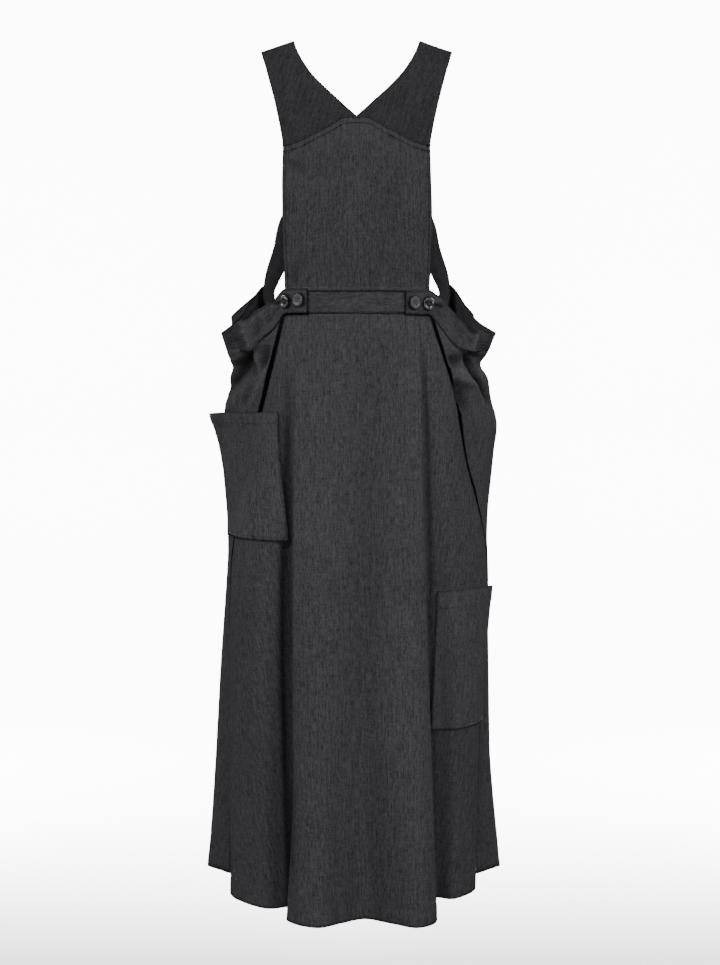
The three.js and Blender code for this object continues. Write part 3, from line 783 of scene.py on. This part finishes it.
# Materials
NOISE_ROUGHNESS = 0.55

# Yarns by name: whether they sway with the warp, cells a metre across and down, detail, seed, share of the tone
YARNS = {
    "slub": (True, 600, 105, 2.0, 3, 1.5),
    "long_slub": (True, 340, 24, 2.0, 5, 1.0),
    "fleck": (True, 480, 330, 1.0, 15, 0.9),
    "weft": (True, 60, 560, 2.0, 7, 0.6),
    "patch": (False, 75, 60, 2.0, 9, 0.25),
    "broad": (False, 9, 4, 1.0, 11, 0.2),
    "grain": (False, 1500, 1300, 2.0, 13, 0.8),
}

# Sway of the warp: cells a metre across and down, detail, metres
SWAY = (14, 6, 1.0, 0.0016)

# How far, in millimetres, and how much painted shade darkens the cloth at edges and along stitch lines, and
# painted shadow where things touch it
MARK_WIDTH = {"edge": 1.7, "seam": 0.9, "shade": 2.2}
EDGE_PAINTED_SHADE = 0.42
STITCH_PAINTED_SHADE = 0.25
STITCH_PAINTED_SHADE_BY_WEFT = 0.5
CONTACT_PAINTED_SHADOW = 0.65
DARKEST = 0.12

# Painted shade for each millimetre of a trough and painted highlight for each millimetre of a ridge, and their
# limits
HOLLOW_PAINTED_SHADE, HOLLOW_LIMIT = 0.07, 0.7
CREST_PAINTED_HIGHLIGHT, CREST_LIMIT = 0.03, 0.55

# Relief of the weave
THREAD_PITCH = 0.00085
WEAVE_RELIEF = 0.25
YARN_RELIEF = {"grain": 0.7, "slub": 0.5, "weft": 0.35}
CLOTH_BUMP = {"Strength": 0.35, "Distance": 0.0004}
CLOTH_ROUGHNESS = 0.86
SLUB_ROUGHNESS = 0.12


def cloth_material(name, base, contrast=1.0, slant=0.0, seed=1.0):
    """Plain weave of two-tone yarn, with painted shade at edges, along stitches, where things touch it and in
    hollows, and a painted highlight on ridges.
    """
    g = Graph(name)
    x, y, _ = g.split(g.node("ShaderNodeUVMap", {"uv_map": "Cloth"}))
    c, s = math.cos(slant), math.sin(slant)
    u, v = x * c + y * s, y * c - x * s
    across, down, detail, sway = SWAY
    warp = u + g.noise(u * across, v * down, detail, seed) * sway
    yarn = {
        key: g.noise((warp if swaying else u) * across, v * down, detail, seed + shift) - 0.5
        for key, (swaying, across, down, detail, shift, _) in YARNS.items()
    }
    tone = sum(yarn[key] * row[-1] for key, row in YARNS.items())
    mark = {key: g.value("ShaderNodeAttribute", {"attribute_name": key}, 2) for key in ("edge", *MARKS)}
    near = {
        key: (mark[key] * mark[key] * (-1 / width**2)).maths("EXPONENT") for key, width in MARK_WIDTH.items()
    }
    # Painted shade in crease troughs and painted highlight on crease ridges, from the stored fold height
    hollow = (mark["fold"] * -HOLLOW_PAINTED_SHADE).maths("MAXIMUM", 0.0).maths("MINIMUM", HOLLOW_LIMIT)
    crest = (mark["fold"] * CREST_PAINTED_HIGHLIGHT).maths("MAXIMUM", 0.0).maths("MINIMUM", CREST_LIMIT)
    # Painted shade along the edges of every piece
    level = (tone * contrast + 1.0) * (crest - hollow + 1.0) - near["edge"] * EDGE_PAINTED_SHADE
    # Painted shade along stitch lines, broken by the weft, and painted shadow where tabs and buttons touch the
    # cloth
    stitch_shade = (yarn["weft"] + 0.5) * STITCH_PAINTED_SHADE_BY_WEFT + STITCH_PAINTED_SHADE
    level = (level - near["seam"] * stitch_shade - near["shade"] * CONTACT_PAINTED_SHADOW).maths("MAXIMUM", DARKEST)
    threads = [(way * (2 * math.pi / THREAD_PITCH)).maths("SINE") for way in (u, v)]
    height = threads[0] * threads[1] * WEAVE_RELIEF
    height += sum(yarn[key] * relief for key, relief in YARN_RELIEF.items())
    return g.finish({
        "Base Color": g.colour(base, level),
        "Roughness": yarn["slub"] * SLUB_ROUGHNESS + CLOTH_ROUGHNESS,
        "Normal": g.value("ShaderNodeBump", None, 0, {**CLOTH_BUMP, "Height": height}),
        "Specular IOR Level": 0.0,
    })


def button_material(name, base, rough):
    """Dark moulded resin with faint swirls and scuffs."""
    g = Graph(name)
    x, y, z = g.split(g.node("ShaderNodeTexCoord", None, 3))
    swirl = g.noise(x * 260 + y * 90, z * 210, 3.0, 2.0)
    scuff = g.noise(x * 1900, z * 1700, 3.0, 5.0)
    return g.finish({
        "Base Color": g.colour(base, (swirl - 0.5) * 0.9 + 1.0),
        "Roughness": (scuff - 0.5) * 0.3 + rough,
        "Normal": g.value("ShaderNodeBump", None, 0, {"Strength": 0.15, "Distance": 0.0002, "Height": scuff}),
    })


def plain_material(name, base, rough):
    """One colour with a very faint mottle."""
    g = Graph(name)
    x, y, _ = g.split(g.node("ShaderNodeTexCoord", None, 3))
    mottle = g.noise(x * 900, y * 900, 2.0, 1.0)
    return g.finish({"Base Color": g.colour(base, (mottle - 0.5) * 0.1 + 1.0), "Roughness": rough})


skirt_cloth = cloth_material("cloth_skirt", (0.0341, 0.0333, 0.0364), seed=1.0)
bib_cloth = cloth_material("cloth_bib", (0.0304, 0.0296, 0.0325), seed=21.0)
pocket_cloth = cloth_material("cloth_pocket", (0.0392, 0.0382, 0.0419), seed=33.0)
band_cloth = cloth_material("cloth_band", (0.0320, 0.0313, 0.0342), slant=math.pi / 2, seed=41.0)
yoke_cloth = cloth_material("cloth_yoke", (0.0200, 0.0197, 0.0212), contrast=0.9, slant=0.3, seed=61.0)
strap_cloth = cloth_material("cloth_strap", (0.0360, 0.0354, 0.0386), contrast=0.9, seed=81.0)
thread_dark = plain_material("thread", (0.010, 0.010, 0.0115), 0.75)
button_dark = button_material("button_dark", (0.007, 0.007, 0.0075), 0.23)
button_grey = button_material("button_grey", (0.014, 0.014, 0.0152), 0.5)


# Pieces
def skirt_front():
    """The wide front panel, whose edges lap under the back panel below each slit."""
    levels = np.linspace(0, LAST_LEVEL, SKIRT_ROWS)
    u = np.linspace(0, 1, 200)
    lap = slit_closing(levels)[:, None] * FRONT_LAP
    p = np.array([ring(u * (LEFT_SEAM + 2 * a) - a, v) for a, v in zip(lap[:, 0], levels)])
    lapped = 1 - fade(np.minimum(u, 1 - u)[None] * LEFT_SEAM - 2 * lap, -0.02, 0.1)
    p = lifted(p, -lapped * (lap > 0.01) * LAP_DEPTH)
    fold = creases(p, FRONT_CREASES)
    p = lifted(p, fold)
    p = lifted(p, ripple(p, 3, 38, 150, 0.7))
    p, hem_line = turned_hem(p, 0.55, 31)
    # Painted shadow that the tabs cast on the top of the skirt: distance below the waist
    in_tab_shadow = (np.abs(p[..., 0]) > TAB_REACH) & (p[..., 2] > WAIST_Z - FAR)
    shade = np.where(in_tab_shadow, WAIST_Z - p[..., 2], FAR)
    cloth("skirt_front_cloth", p, SKIRT_THICKNESS, skirt_cloth, "cloth", "skirt_front", (0.76, 0.862),
          area=0.55, tuck=(6, 0), seam=hem_line, shade=shade, fold=fold)


def skirt_back():
    """The back panel, with finer columns where the front creases are and finer rows near the band."""
    u = spread(BACK_COLUMNS, 216) / BACK_COLUMNS[-1][0]
    rows = []
    for level in np.linspace(0, 1, SKIRT_ROWS) ** BACK_ROW_POWER * LAST_LEVEL:
        closing = slit_closing(level)
        rows.append(ring(LEFT_WRAP - closing + u * (RIGHT_WRAP - LEFT_WRAP + 2 * closing), level))
    p = np.array(rows)
    draw = sum(
        bell(p[..., 2] - z, reach) * fade(np.abs(p[..., 0]), start, full) * np.where(p[..., 0] > 0, right, left)
        for z, reach, start, full, left, right in SIDE_DRAWS
    )
    p[..., 0] *= 1 + draw
    in_front = 1 - fade(p[..., 1], 15, 55)
    beside = fade(p[..., 1], 5, 30)
    fold = in_front * creases(p, HIP_CREASES) + (1 - in_front) * creases(p, BACK_CREASES)
    fold += fade(-p[..., 0], 135, 175) * beside * creases(p, LEFT_SIDE_CREASES, 1)
    fold += fade(p[..., 0], 135, 175) * beside * creases(p, RIGHT_SIDE_CREASES, 1)
    p = lifted(p, fold)
    p = lifted(p, ripple(p, 5, 42, 160, 0.9))
    p, hem_line = turned_hem(p, 0.6, 35)
    cloth("skirt_back_cloth", p, SKIRT_THICKNESS, skirt_cloth, "cloth", "skirt_back", (0.78, 0.86),
          area=0.6, tuck=(6, 0), seam=hem_line, fold=fold)


def waistband_front():
    """The short band between bib and skirt, under the tabs at its ends."""
    left, right, top, low = WAISTBAND_BOX
    p = bodice(np.linspace(left, right, 110)[None], np.linspace(top, low, 22)[:, None])
    p = lifted(p, ripple(p, 7, 16, 13, 0.35))
    # Painted shadow beside the tab ends: distance from where the tabs begin
    tab_end_shadow = np.maximum(abs(LEFT_TAB[0][0]) - np.abs(p[..., 0]), 0)
    stitch_line = np.minimum(p[..., 2] - low, top - p[..., 2]) - FRONT_STITCH_INSET
    cloth("waistband_front_cloth", p, BAND_THICKNESS, band_cloth, "cloth", "waistband_front", (0.223, 0.037),
          grain="flat", seam=stitch_line, shade=tab_end_shadow)


def waistband_back():
    """The long band from tab to tab, pinched where it turns forward."""
    along = np.linspace(0, len(band_rows) - 1, 560)
    down = np.linspace(0, 1, 22)
    high, low = smooth(band_rows[:, :3], along), smooth(band_rows[:, 3:], along)
    for _, _, place, depth, width, _ in BAND_PINCHES:
        high[:, 2] -= depth * bell(along - place, width)
    p = high[None] + (low - high)[None] * down[:, None, None]
    ridge = sum(height * np.exp(-np.abs(along - place) / RIDGE_WIDTH) for place, height, *_ in BAND_PINCHES)
    dent = sum(DENT_DEPTH * bell(along - row[-1], DENT_WIDTH) for row in BAND_PINCHES)
    p = lifted(p, ridge - dent + np.zeros((len(down), 1)))
    noise_x, noise_y = np.meshgrid(along * 1.7, down * 1.5)
    p = lifted(p, value_noise(9, noise_x, noise_y) * 0.45)
    in_front = (p[..., 1] < 20).astype(float)
    fold = in_front * creases(p, BAND_FRONT_CREASES) + (1 - in_front) * creases(p, BAND_BACK_CREASES)
    p = lifted(p, fold)
    # Painted highlight on the pinch ridges and painted shade in buttonhole slits and dents; crease shade and
    # highlight doubled
    ridge_highlight = sum(np.exp(-np.abs(along - row[0]) / RIDGE_PAINTED_HIGHLIGHT_WIDTH) for row in BAND_PINCHES)
    tone = creases(p, BUTTONHOLE_SHADE_LINES) + fold * 2 - dent * 1.2 + RIDGE_PAINTED_HIGHLIGHT * ridge_highlight
    # Painted shadow round each button: distance from the button's rim
    button_places = [on_waistband(x, z, TAB_STAND_OFF) for _, x, z, _ in BUTTONS]
    button_shadow = np.min([np.linalg.norm(p - q, axis=-1) for q in button_places], axis=0) - BUTTON_RADIUS
    stitch_line = np.minimum(down, 1 - down)[:, None] * BAND_HEIGHT - BACK_STITCH_INSET
    cloth("waistband_back_cloth", p, BAND_THICKNESS, band_cloth, "cloth", "waistband_back", (1.1, 0.04),
          grain="flat", seam=stitch_line, shade=np.clip(button_shadow, 0, FAR), fold=tone)


def yoke(name, side):
    """One front yoke between neckline, armhole, shoulder and bib seam; side -1 is the mirrored one."""
    u, v = np.linspace(0, 1, 60), np.linspace(0, 1, 84)
    inner, outer, low = (
        smooth(rows, at * (len(rows) - 1)) for rows, at in ((NECKLINE, v), (ARMHOLE, v), (YOKE_SEAM, u))
    )
    a, b = np.array(ARMHOLE[0], float), np.array(NECKLINE[0], float)
    c, d = np.array(YOKE_SEAM[0], float), np.array(YOKE_SEAM[-1], float)
    top = a + u[:, None] * (b - a)
    uu, vv = u[None, :, None], v[:, None, None]
    xz = outer[:, None] * (1 - uu) + inner[:, None] * uu + top[None] * (1 - vv) + low[None] * vv
    xz -= (1 - uu) * (1 - vv) * a + uu * (1 - vv) * b + (1 - uu) * vv * c + uu * vv * d
    drop = (1 - v[:, None]) ** 2 * (NECKLINE[0][1] - top[None, :, 1])
    p = bodice(xz[..., 0], xz[..., 1], drop)
    p[..., 0] *= side
    p = lifted(p, ripple(p, 11 + side, 22, 26, 0.5) * side)
    cloth(f"yoke_{name}_cloth", p, YOKE_THICKNESS, yoke_cloth, "cloth_yoke", f"yoke_{name}", (0.13, 0.24),
          area=0.0125, outward=side, grain="plane")


def bib():
    """The lower front, up to the pointed yoke seam. Gives the row share of its top stitches by column."""
    u, v = np.linspace(0, 1, 150), spread(BIB_ROWS, 150)[:, None]
    reach = np.abs(2 * u - 1)
    seam = smooth(YOKE_SEAM, (1 - reach) * (len(YOKE_SEAM) - 1))
    top = seam[None, :, 1] - SEAM_GAP * 1.4
    z = top + v * (BIB_SIDES[-1][0] - SEAM_GAP - top)
    sides = smooth_table(BIB_SIDES, z.ravel()).reshape(z.shape + (2,))
    seam_reach = np.abs(seam[:, 0]) / abs(YOKE_SEAM[0][0])
    x = np.where(u < 0.5, sides[..., 0], sides[..., 1]) * (seam_reach + (reach - seam_reach) * v)
    p = bodice(x, z)
    below_seam = (z[0] - z) / np.hypot(1, np.gradient(z[0]) / np.gradient(x[0]))
    stitch_line = np.abs(below_seam - BIB_STITCH_DROP)
    side_line = np.abs(np.minimum(x - x[:, :1], x[:, -1:] - x) - BIB_SIDE_HEM)
    fold = creases(p, BIB_CREASES)
    pucker = value_noise(15, x / 5, z / 12) * bell(below_seam - 5, 6)
    p = lifted(p, fold + ripple(p, 13, 30, 40, 0.6))
    p = lifted(p, pucker * 0.35 - 0.45 * bell(stitch_line, 1.5))
    # The crease height is stored half again as strong, for stronger painted shade and highlight
    cloth("bib_cloth", p, BIB_THICKNESS, bib_cloth, "cloth", "bib", (0.225, 0.248),
          area=0.053, tuck=(1.9, 5), seam=np.minimum(stitch_line, side_line), fold=fold * 1.5)
    shares = np.linspace(0, 1, len(below_seam))
    return [np.interp(BIB_STITCH_DROP, column, shares) for column in below_seam.T]


def back_strap(name, side, rise):
    """One back strap along its path, raised where it crosses over the other."""
    t = np.linspace(0, len(STRAP) - 1, 200)
    at, ahead, behind = (smooth(STRAP, t + k) for k in (0, 0.02, -0.02))
    along = unit(ahead[:, :3] - behind[:, :3])
    a, b = np.radians(at[:, 3]), np.radians(at[:, 4])
    facing = np.stack([np.sin(a) * np.cos(b), np.cos(a) * np.cos(b), np.sin(b)], -1)
    across = unit(np.cross(facing, along))
    centre = at[:, :3] + facing * (rise * bell(at[:, 2] - STRAP_CROSSING_Z, STRAP_CROSSING_REACH))[:, None]
    p = centre[:, None] + across[:, None] * ((np.linspace(0, 1, 26) - 0.5) * STRAP_WIDTH)[None, :, None]
    p = p * [-side, 1, 1]
    p = lifted(p, ripple(p, 17 + side, 30, 22, 0.5, 2, 0))
    cloth(f"strap_{name}_cloth", p, STRAP_THICKNESS, strap_cloth, "cloth_yoke", f"back_strap_{name}",
          (STRAP_WIDTH * MM, 0.53), outward=side, tuck=(4, 14), grain="flat")


def pocket(name, table, side, flat):
    """A patch pocket on the skirt's ring; the hip one has a gaping outer corner."""
    u, v = np.linspace(0, 1, 90), np.linspace(0, 1, 100)
    rows = []
    step = 0.02
    for level, near, far, off_near, off_far in smooth_table(table, v):
        folds = near + u * (far - near)
        across = ring(folds + step, level) - ring(folds - step, level)
        n = np.cross(across, ring(folds, level + step) - ring(folds, level - step))
        n[:, 2] = 0
        rows.append(ring(folds, level) + unit(n) * (off_near + (off_far - off_near) * u[:, None] ** 3))
    p = np.array(rows)
    if name == "hip":
        gape = (u[None] ** 1.5) * (1 - fade(v, 0, 0.5))[:, None]
        p += gape[..., None] * HIP_POCKET_GAPE
    p = lifted(p, ripple(p, 23, 26, 34, 0.5) * side)
    across, down = u[None] * flat[0] / MM, v[:, None] * flat[1] / MM
    rim_line = np.abs(np.minimum(np.minimum(across, across[:, ::-1]), down[::-1]) - POCKET_STITCH_INSET)
    p = lifted(p, POCKET_HEM_RISE * side * (1 - fade(down - POCKET_HEM, -1.5, 1.5)) + 0 * across)
    cloth(f"pocket_{name}_cloth", p, POCKET_THICKNESS, pocket_cloth, "cloth", f"pocket_{name}", flat,
          outward=side, grain="flat", seam=np.minimum(rim_line, np.abs(down - POCKET_HEM)))


skirt_front()
skirt_back()
waistband_front()
waistband_back()
yoke("left", 1)
yoke("right", -1)
bib_top_stitches = bib()
back_strap("left", -1, 0.0)
back_strap("right", 1, STRAP_CROSSING_RISE)
pocket("hip", HIP_POCKET, 1, (0.175, 0.19))
pocket("thigh", THIGH_POCKET, -1, (0.15, 0.205))


# Buttons
def lathe(profile, steps):
    """Closed form turned about Y, from rows of radius and y."""
    bm = bmesh.new()
    turns = np.linspace(0, 2 * math.pi, steps, False)
    rings = []
    for r, y in profile:
        points = [(r * math.cos(a), y, r * math.sin(a)) for a in turns] if r else [(0, y, 0)]
        rings.append([bm.verts.new(point) for point in points])
    for a, b in zip(rings, rings[1:]):
        for k in range(steps):
            m = (k + 1) % steps
            if len(a) == 1:
                bm.faces.new((a[0], b[k], b[m]))
            elif len(b) == 1:
                bm.faces.new((a[k], b[0], a[m]))
            else:
                bm.faces.new((a[k], b[k], b[m], a[m]))
    bmesh.ops.recalc_face_normals(bm, faces=bm.faces)
    return bm


def mesh_from(name, bm):
    mesh = bpy.data.meshes.new(name)
    bm.to_mesh(mesh)
    bm.free()
    return mesh


def evaluated_mesh(obj):
    """The object's mesh with its modifiers applied."""
    bpy.context.view_layer.update()
    return bpy.data.meshes.new_from_object(obj.evaluated_get(bpy.context.evaluated_depsgraph_get()))


def button_mesh(name):
    """Turned disc with four holes, in millimetres."""
    holes = bmesh.new()
    for dx in (-BUTTON_HOLE_PLACE, BUTTON_HOLE_PLACE):
        for dz in (-BUTTON_HOLE_PLACE, BUTTON_HOLE_PLACE):
            at = Matrix.Translation((dx, BUTTON_HOLE_Y, dz)) @ Matrix.Rotation(math.pi / 2, 4, "X")
            size = {"radius1": BUTTON_HOLE_RADIUS, "radius2": BUTTON_HOLE_RADIUS, "depth": BUTTON_HOLE_DEPTH}
            bmesh.ops.create_cone(holes, cap_ends=True, segments=16, matrix=at, **size)
    body = new_object(name + "_form", mesh_from(name + "_form", lathe(BUTTON_PROFILE, 48)))
    cut = new_object(name + "_holes", mesh_from(name + "_holes", holes))
    mod = body.modifiers.new("holes", "BOOLEAN")
    mod.object, mod.operation, mod.solver = cut, "DIFFERENCE", "EXACT"
    mesh = evaluated_mesh(body)
    mesh.name = name + "_disc"
    for scratch in (body, cut):
        bpy.data.objects.remove(scratch)
    return mesh


def thread_cross(name):
    """Two crossed threads over the holes, in millimetres."""
    cross = bmesh.new()
    for sign in (-1, 1):
        turn = Matrix.Rotation(sign * math.pi / 4, 4, "Y")
        shape = Matrix.Translation((0, THREAD_Y, 0)) @ turn @ Matrix.Diagonal((*THREAD_HALF_SIZE, 1))
        bmesh.ops.create_icosphere(cross, subdivisions=2, radius=1, matrix=shape)
    return mesh_from(name + "_thread", cross)


def add_button(name, x, z, lean, material):
    """A button on its shank at x and z on the tab, and the thread in its holes."""
    out = bodice_out(x, z)
    seat = on_waistband(x, z, TAB_STAND_OFF + BUTTON_STAND_OFF + BUTTON_SHANK)
    turn = Matrix.Rotation(math.atan2(out[0], -out[1]) + math.radians(lean), 4, "Z")
    place = Matrix.Translation(Vector(seat * MM)) @ turn @ Matrix.Scale(MM, 4)
    disc = button_mesh(name)
    disc.transform(place)
    disc.materials.clear()
    disc.materials.append(material)
    for poly in disc.polygons:
        poly.use_smooth = True
    disc.set_sharp_from_angle(angle=math.radians(40))
    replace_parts(add_object(name + "_disc", disc), name)
    thread = thread_cross(name)
    thread.transform(place)
    thread.materials.append(thread_dark)
    add_object(name + "_thread", thread)


for name, x, z, lean in BUTTONS:
    add_button(name, x, z, lean, button_dark if "outer" in name else button_grey)


# Stitching
def stitch_tree():
    """Geometry Nodes: even stitches laid along each line, turned to face the stored direction."""
    tree = bpy.data.node_groups.new("StitchRun", "GeometryNodeTree")
    face = tree.interface
    face.new_socket("Geometry", in_out="INPUT", socket_type="NodeSocketGeometry")
    for label, value in (("Pitch", 0.0032), ("Stitch Length", 0.0023), ("Thread Radius", 0.0003)):
        face.new_socket(label, in_out="INPUT", socket_type="NodeSocketFloat").default_value = value
    face.new_socket("Material", in_out="INPUT", socket_type="NodeSocketMaterial")
    face.new_socket("Geometry", in_out="OUTPUT", socket_type="NodeSocketGeometry")
    make = tree.nodes.new
    link = tree.links.new
    start, end = make("NodeGroupInput"), make("NodeGroupOutput")
    curve, even = make("GeometryNodeMeshToCurve"), make("GeometryNodeResampleCurve")
    even.mode = "LENGTH"
    lift = make("GeometryNodeInputNamedAttribute")
    lift.data_type = "FLOAT_VECTOR"
    lift.inputs["Name"].default_value = "lift"
    tangent, turn = make("GeometryNodeInputTangent"), make("FunctionNodeAxesToRotation")
    turn.primary_axis, turn.secondary_axis = "X", "Z"
    ball, put = make("GeometryNodeMeshIcoSphere"), make("GeometryNodeInstanceOnPoints")
    ball.inputs["Radius"].default_value = 1.0
    ball.inputs["Subdivisions"].default_value = 1
    half, size = make("ShaderNodeMath"), make("ShaderNodeCombineXYZ")
    half.operation = "MULTIPLY"
    half.inputs[1].default_value = 0.5
    real, paint = make("GeometryNodeRealizeInstances"), make("GeometryNodeSetMaterial")
    link(start.outputs["Geometry"], curve.inputs[0])
    link(curve.outputs[0], even.inputs["Curve"])
    link(start.outputs["Pitch"], even.inputs["Length"])
    link(even.outputs[0], put.inputs["Points"])
    link(ball.outputs["Mesh"], put.inputs["Instance"])
    link(tangent.outputs[0], turn.inputs["Primary Axis"])
    link(lift.outputs["Attribute"], turn.inputs["Secondary Axis"])
    link(turn.outputs[0], put.inputs["Rotation"])
    link(start.outputs["Stitch Length"], half.inputs[0])
    link(half.outputs[0], size.inputs["X"])
    link(start.outputs["Thread Radius"], size.inputs["Y"])
    link(start.outputs["Thread Radius"], size.inputs["Z"])
    link(size.outputs[0], put.inputs["Scale"])
    link(put.outputs[0], real.inputs[0])
    link(real.outputs[0], paint.inputs["Geometry"])
    link(start.outputs["Material"], paint.inputs["Material"])
    link(paint.outputs[0], end.inputs["Geometry"])
    return tree


STITCHES = stitch_tree()


def stitches(name, lines, pitch=3.1, length=2.5, radius=0.38):
    """Stitching along lines of points and directions, made real as one mesh."""
    verts, edges, lifts = [], [], []
    for points, ups in lines:
        base = len(verts)
        verts.extend((points * MM).tolist())
        lifts.append(ups)
        edges.extend((base + k, base + k + 1) for k in range(len(points) - 1))
    mesh = bpy.data.meshes.new(name)
    mesh.from_pydata(verts, edges, [])
    lift = mesh.attributes.new("lift", "FLOAT_VECTOR", "POINT")
    lift.data.foreach_set("vector", np.concatenate(lifts).ravel())
    obj = add_object(name, mesh)
    mod = obj.modifiers.new("stitches", "NODES")
    mod.node_group = STITCHES
    inputs = {"Pitch": pitch * MM, "Stitch Length": length * MM, "Thread Radius": radius * MM}
    inputs["Material"] = thread_dark
    for item in STITCHES.interface.items_tree:
        if item.item_type == "SOCKET" and item.in_out == "INPUT" and item.name in inputs:
            mod[item.identifier] = inputs[item.name]
    made = evaluated_mesh(obj)
    obj.modifiers.clear()
    obj.data = made


def run(piece, across, down, count=160, off=0.05):
    """A line on a piece, from shares across and down given as ends or lists."""
    t = np.linspace(0, 1, count)
    u, v = (np.interp(t, np.linspace(0, 1, len(shares)), shares) for shares in (across, down))
    return on_piece(piece, u, v, off)


def hem_stitches():
    front = 1 - HEM_WIDTH / SKIRT_LENGTH
    back = front ** (1 / BACK_ROW_POWER)
    stitches("stitches_hem", [
        run("skirt_front_cloth", [0, 1], [front, front], 400),
        run("skirt_back_cloth", [0, 1], [back, back], 500),
    ])


def bib_stitches(top_line):
    stitches("stitches_bib", [
        run("bib_cloth", [0.004, 0.996], top_line, 300),
        run("bib_cloth", [0.0213, 0.0213], [0.08, 0.99]),
        run("bib_cloth", [0.9787, 0.9787], [0.08, 0.99]),
    ])


def waistband_stitches():
    low, high = 0.06, 0.94
    stitches("stitches_waistband", [
        run("waistband_front_cloth", [0.16, 0.84], [low, low]),
        run("waistband_front_cloth", [0.16, 0.84], [high, high]),
        run("waistband_back_cloth", [0.004, 0.996], [low, low], 700),
        run("waistband_back_cloth", [0.004, 0.996], [high, high], 700),
        run("waistband_back_cloth", [0.004, 0.004], [low, high]),
        run("waistband_back_cloth", [0.996, 0.996], [low, high]),
    ])


def buttonholes():
    """Two dense rows for each buttonhole, between two of the band's columns."""
    last = len(band_rows) - 1
    stitches("buttonholes", [
        run("waistband_back_cloth", [start / last, end / last], [row, row + drop], 40, 0.3)
        for start, end, middle, drop in BUTTONHOLES
        for row in (middle - BUTTONHOLE_HALF, middle + BUTTONHOLE_HALF)
    ], 0.9, 1.1, 0.5)


def pocket_stitches():
    rim = ([0.02, 0.02, 0.98, 0.98], [0.01, 0.985, 0.985, 0.01], 500)
    rows = []
    for name, hem, corner in (("pocket_hip_cloth", 0.137, 0.15), ("pocket_thigh_cloth", 0.127, 0.14)):
        rows.append(run(name, [0.0, 1.0], [hem, hem]))
        rows.append(run(name, *rim))
        rows.append(run(name, [0.045, 0.045], [0.01, corner], 30))
    stitches("stitches_pockets", rows)


def strap_stitches():
    edges = (("strap", 0.06), ("strap", 0.94), ("yoke", 0.05), ("yoke", 0.95))
    stitches("stitches_straps", [
        run(f"{part}_{side}_cloth", [share, share], [0.01, 0.985])
        for side in ("left", "right") for part, share in edges
    ])


hem_stitches()
bib_stitches(bib_top_stitches)
waistband_stitches()
buttonholes()
pocket_stitches()
strap_stitches()

# Studio
WORLD_LIGHT = 0.14
WORLD_SEEN = 2.0
FLOOR_HALF_WIDTH = 4.5
FLOOR_Z = -1.5

# Floor and wall in metres: y, height over the floor
FLOOR_PROFILE = [(-3.7, 0.0), (3.0, 0.0), (3.6, 0.1), (4.1, 0.4), (4.4, 0.9), (4.5, 1.6), (4.5, 7.0)]

# Lamps: name, place, what it points at, size in metres, watts
DRESS_MIDDLE = (0, 0, -0.6)
LAMPS = [
    ("key", (-2.0, -2.8, 2.1), DRESS_MIDDLE, 1.0, 113),
    ("fill", (2.3, -2.8, 1.8), DRESS_MIDDLE, 1.2, 130),
    ("front", (0.0, -3.8, -1.15), (0, 0, -1.05), 1.2, 86),
    ("side_left", (-3.2, -0.3, 0.9), DRESS_MIDDLE, 1.2, 72),
    ("side_right", (3.2, -0.3, 0.9), DRESS_MIDDLE, 1.2, 60),
    ("back_left", (-2.0, 2.6, 1.7), DRESS_MIDDLE, 1.2, 95),
    ("back_right", (2.0, 2.6, 1.7), DRESS_MIDDLE, 1.2, 75),
    ("backdrop_left", (-1.9, 1.6, 0.6), (-1.3, 4.4, -0.7), 1.8, 1000),
    ("backdrop_right", (1.9, 1.6, 0.6), (1.3, 4.4, -0.7), 1.8, 1000),
]

# Camera in metres, millimetres of lens and degrees
CAMERA_PLACE = (0.00487, -2.8, -0.5166)
CAMERA_TILT = 2.5
CAMERA_LENS = 70.8
CAMERA_SENSOR = 36.0


def studio_floor():
    """White floor that curves up into a wall; it gives no diffuse light to the cloth."""
    bm = bmesh.new()
    ends = (-FLOOR_HALF_WIDTH, FLOOR_HALF_WIDTH)
    rows = [[bm.verts.new((x, y, height + FLOOR_Z)) for x in ends] for y, height in FLOOR_PROFILE]
    for a, b in zip(rows, rows[1:]):
        bm.faces.new((a[0], a[1], b[1], b[0]))
    mesh = mesh_from("studio_floor", bm)
    mesh.materials.append(plain_material("studio_white", (0.93, 0.93, 0.93), 0.9))
    for poly in mesh.polygons:
        poly.use_smooth = True
    floor = new_object("studio_floor", mesh)
    floor.visible_diffuse = False


def studio_lamps():
    for name, place, target, size, power in LAMPS:
        data = bpy.data.lights.new(name, "AREA")
        data.shape, data.size, data.energy = "SQUARE", size, power
        lamp = new_object(name, data)
        lamp.location = place
        lamp.rotation_euler = (Vector(target) - lamp.location).to_track_quat("-Z", "Y").to_euler()


def studio_world():
    """A world that is bright to the camera and dim to everything else."""
    world = bpy.data.worlds.new("studio")
    world.use_nodes = True
    tree = world.node_tree
    seen = tree.nodes.new("ShaderNodeLightPath").outputs["Is Camera Ray"]
    level = tree.nodes.new("ShaderNodeMapRange")
    level.inputs["To Min"].default_value = WORLD_LIGHT
    level.inputs["To Max"].default_value = WORLD_SEEN
    tree.links.new(seen, level.inputs["Value"])
    tree.links.new(level.outputs[0], tree.nodes["Background"].inputs["Strength"])
    tree.nodes["Background"].inputs["Color"].default_value = (1, 1, 1, 1)
    bpy.context.scene.world = world


def add_camera():
    view = bpy.data.cameras.new("camera")
    view.lens, view.sensor_width, view.sensor_fit = CAMERA_LENS, CAMERA_SENSOR, "AUTO"
    camera = new_object("camera", view)
    camera.location = CAMERA_PLACE
    camera.rotation_euler = (math.radians(90 - CAMERA_TILT), 0, 0)
    bpy.context.scene.camera = camera


studio_floor()
studio_lamps()
studio_world()
add_camera()

bpy.context.view_layer.update()
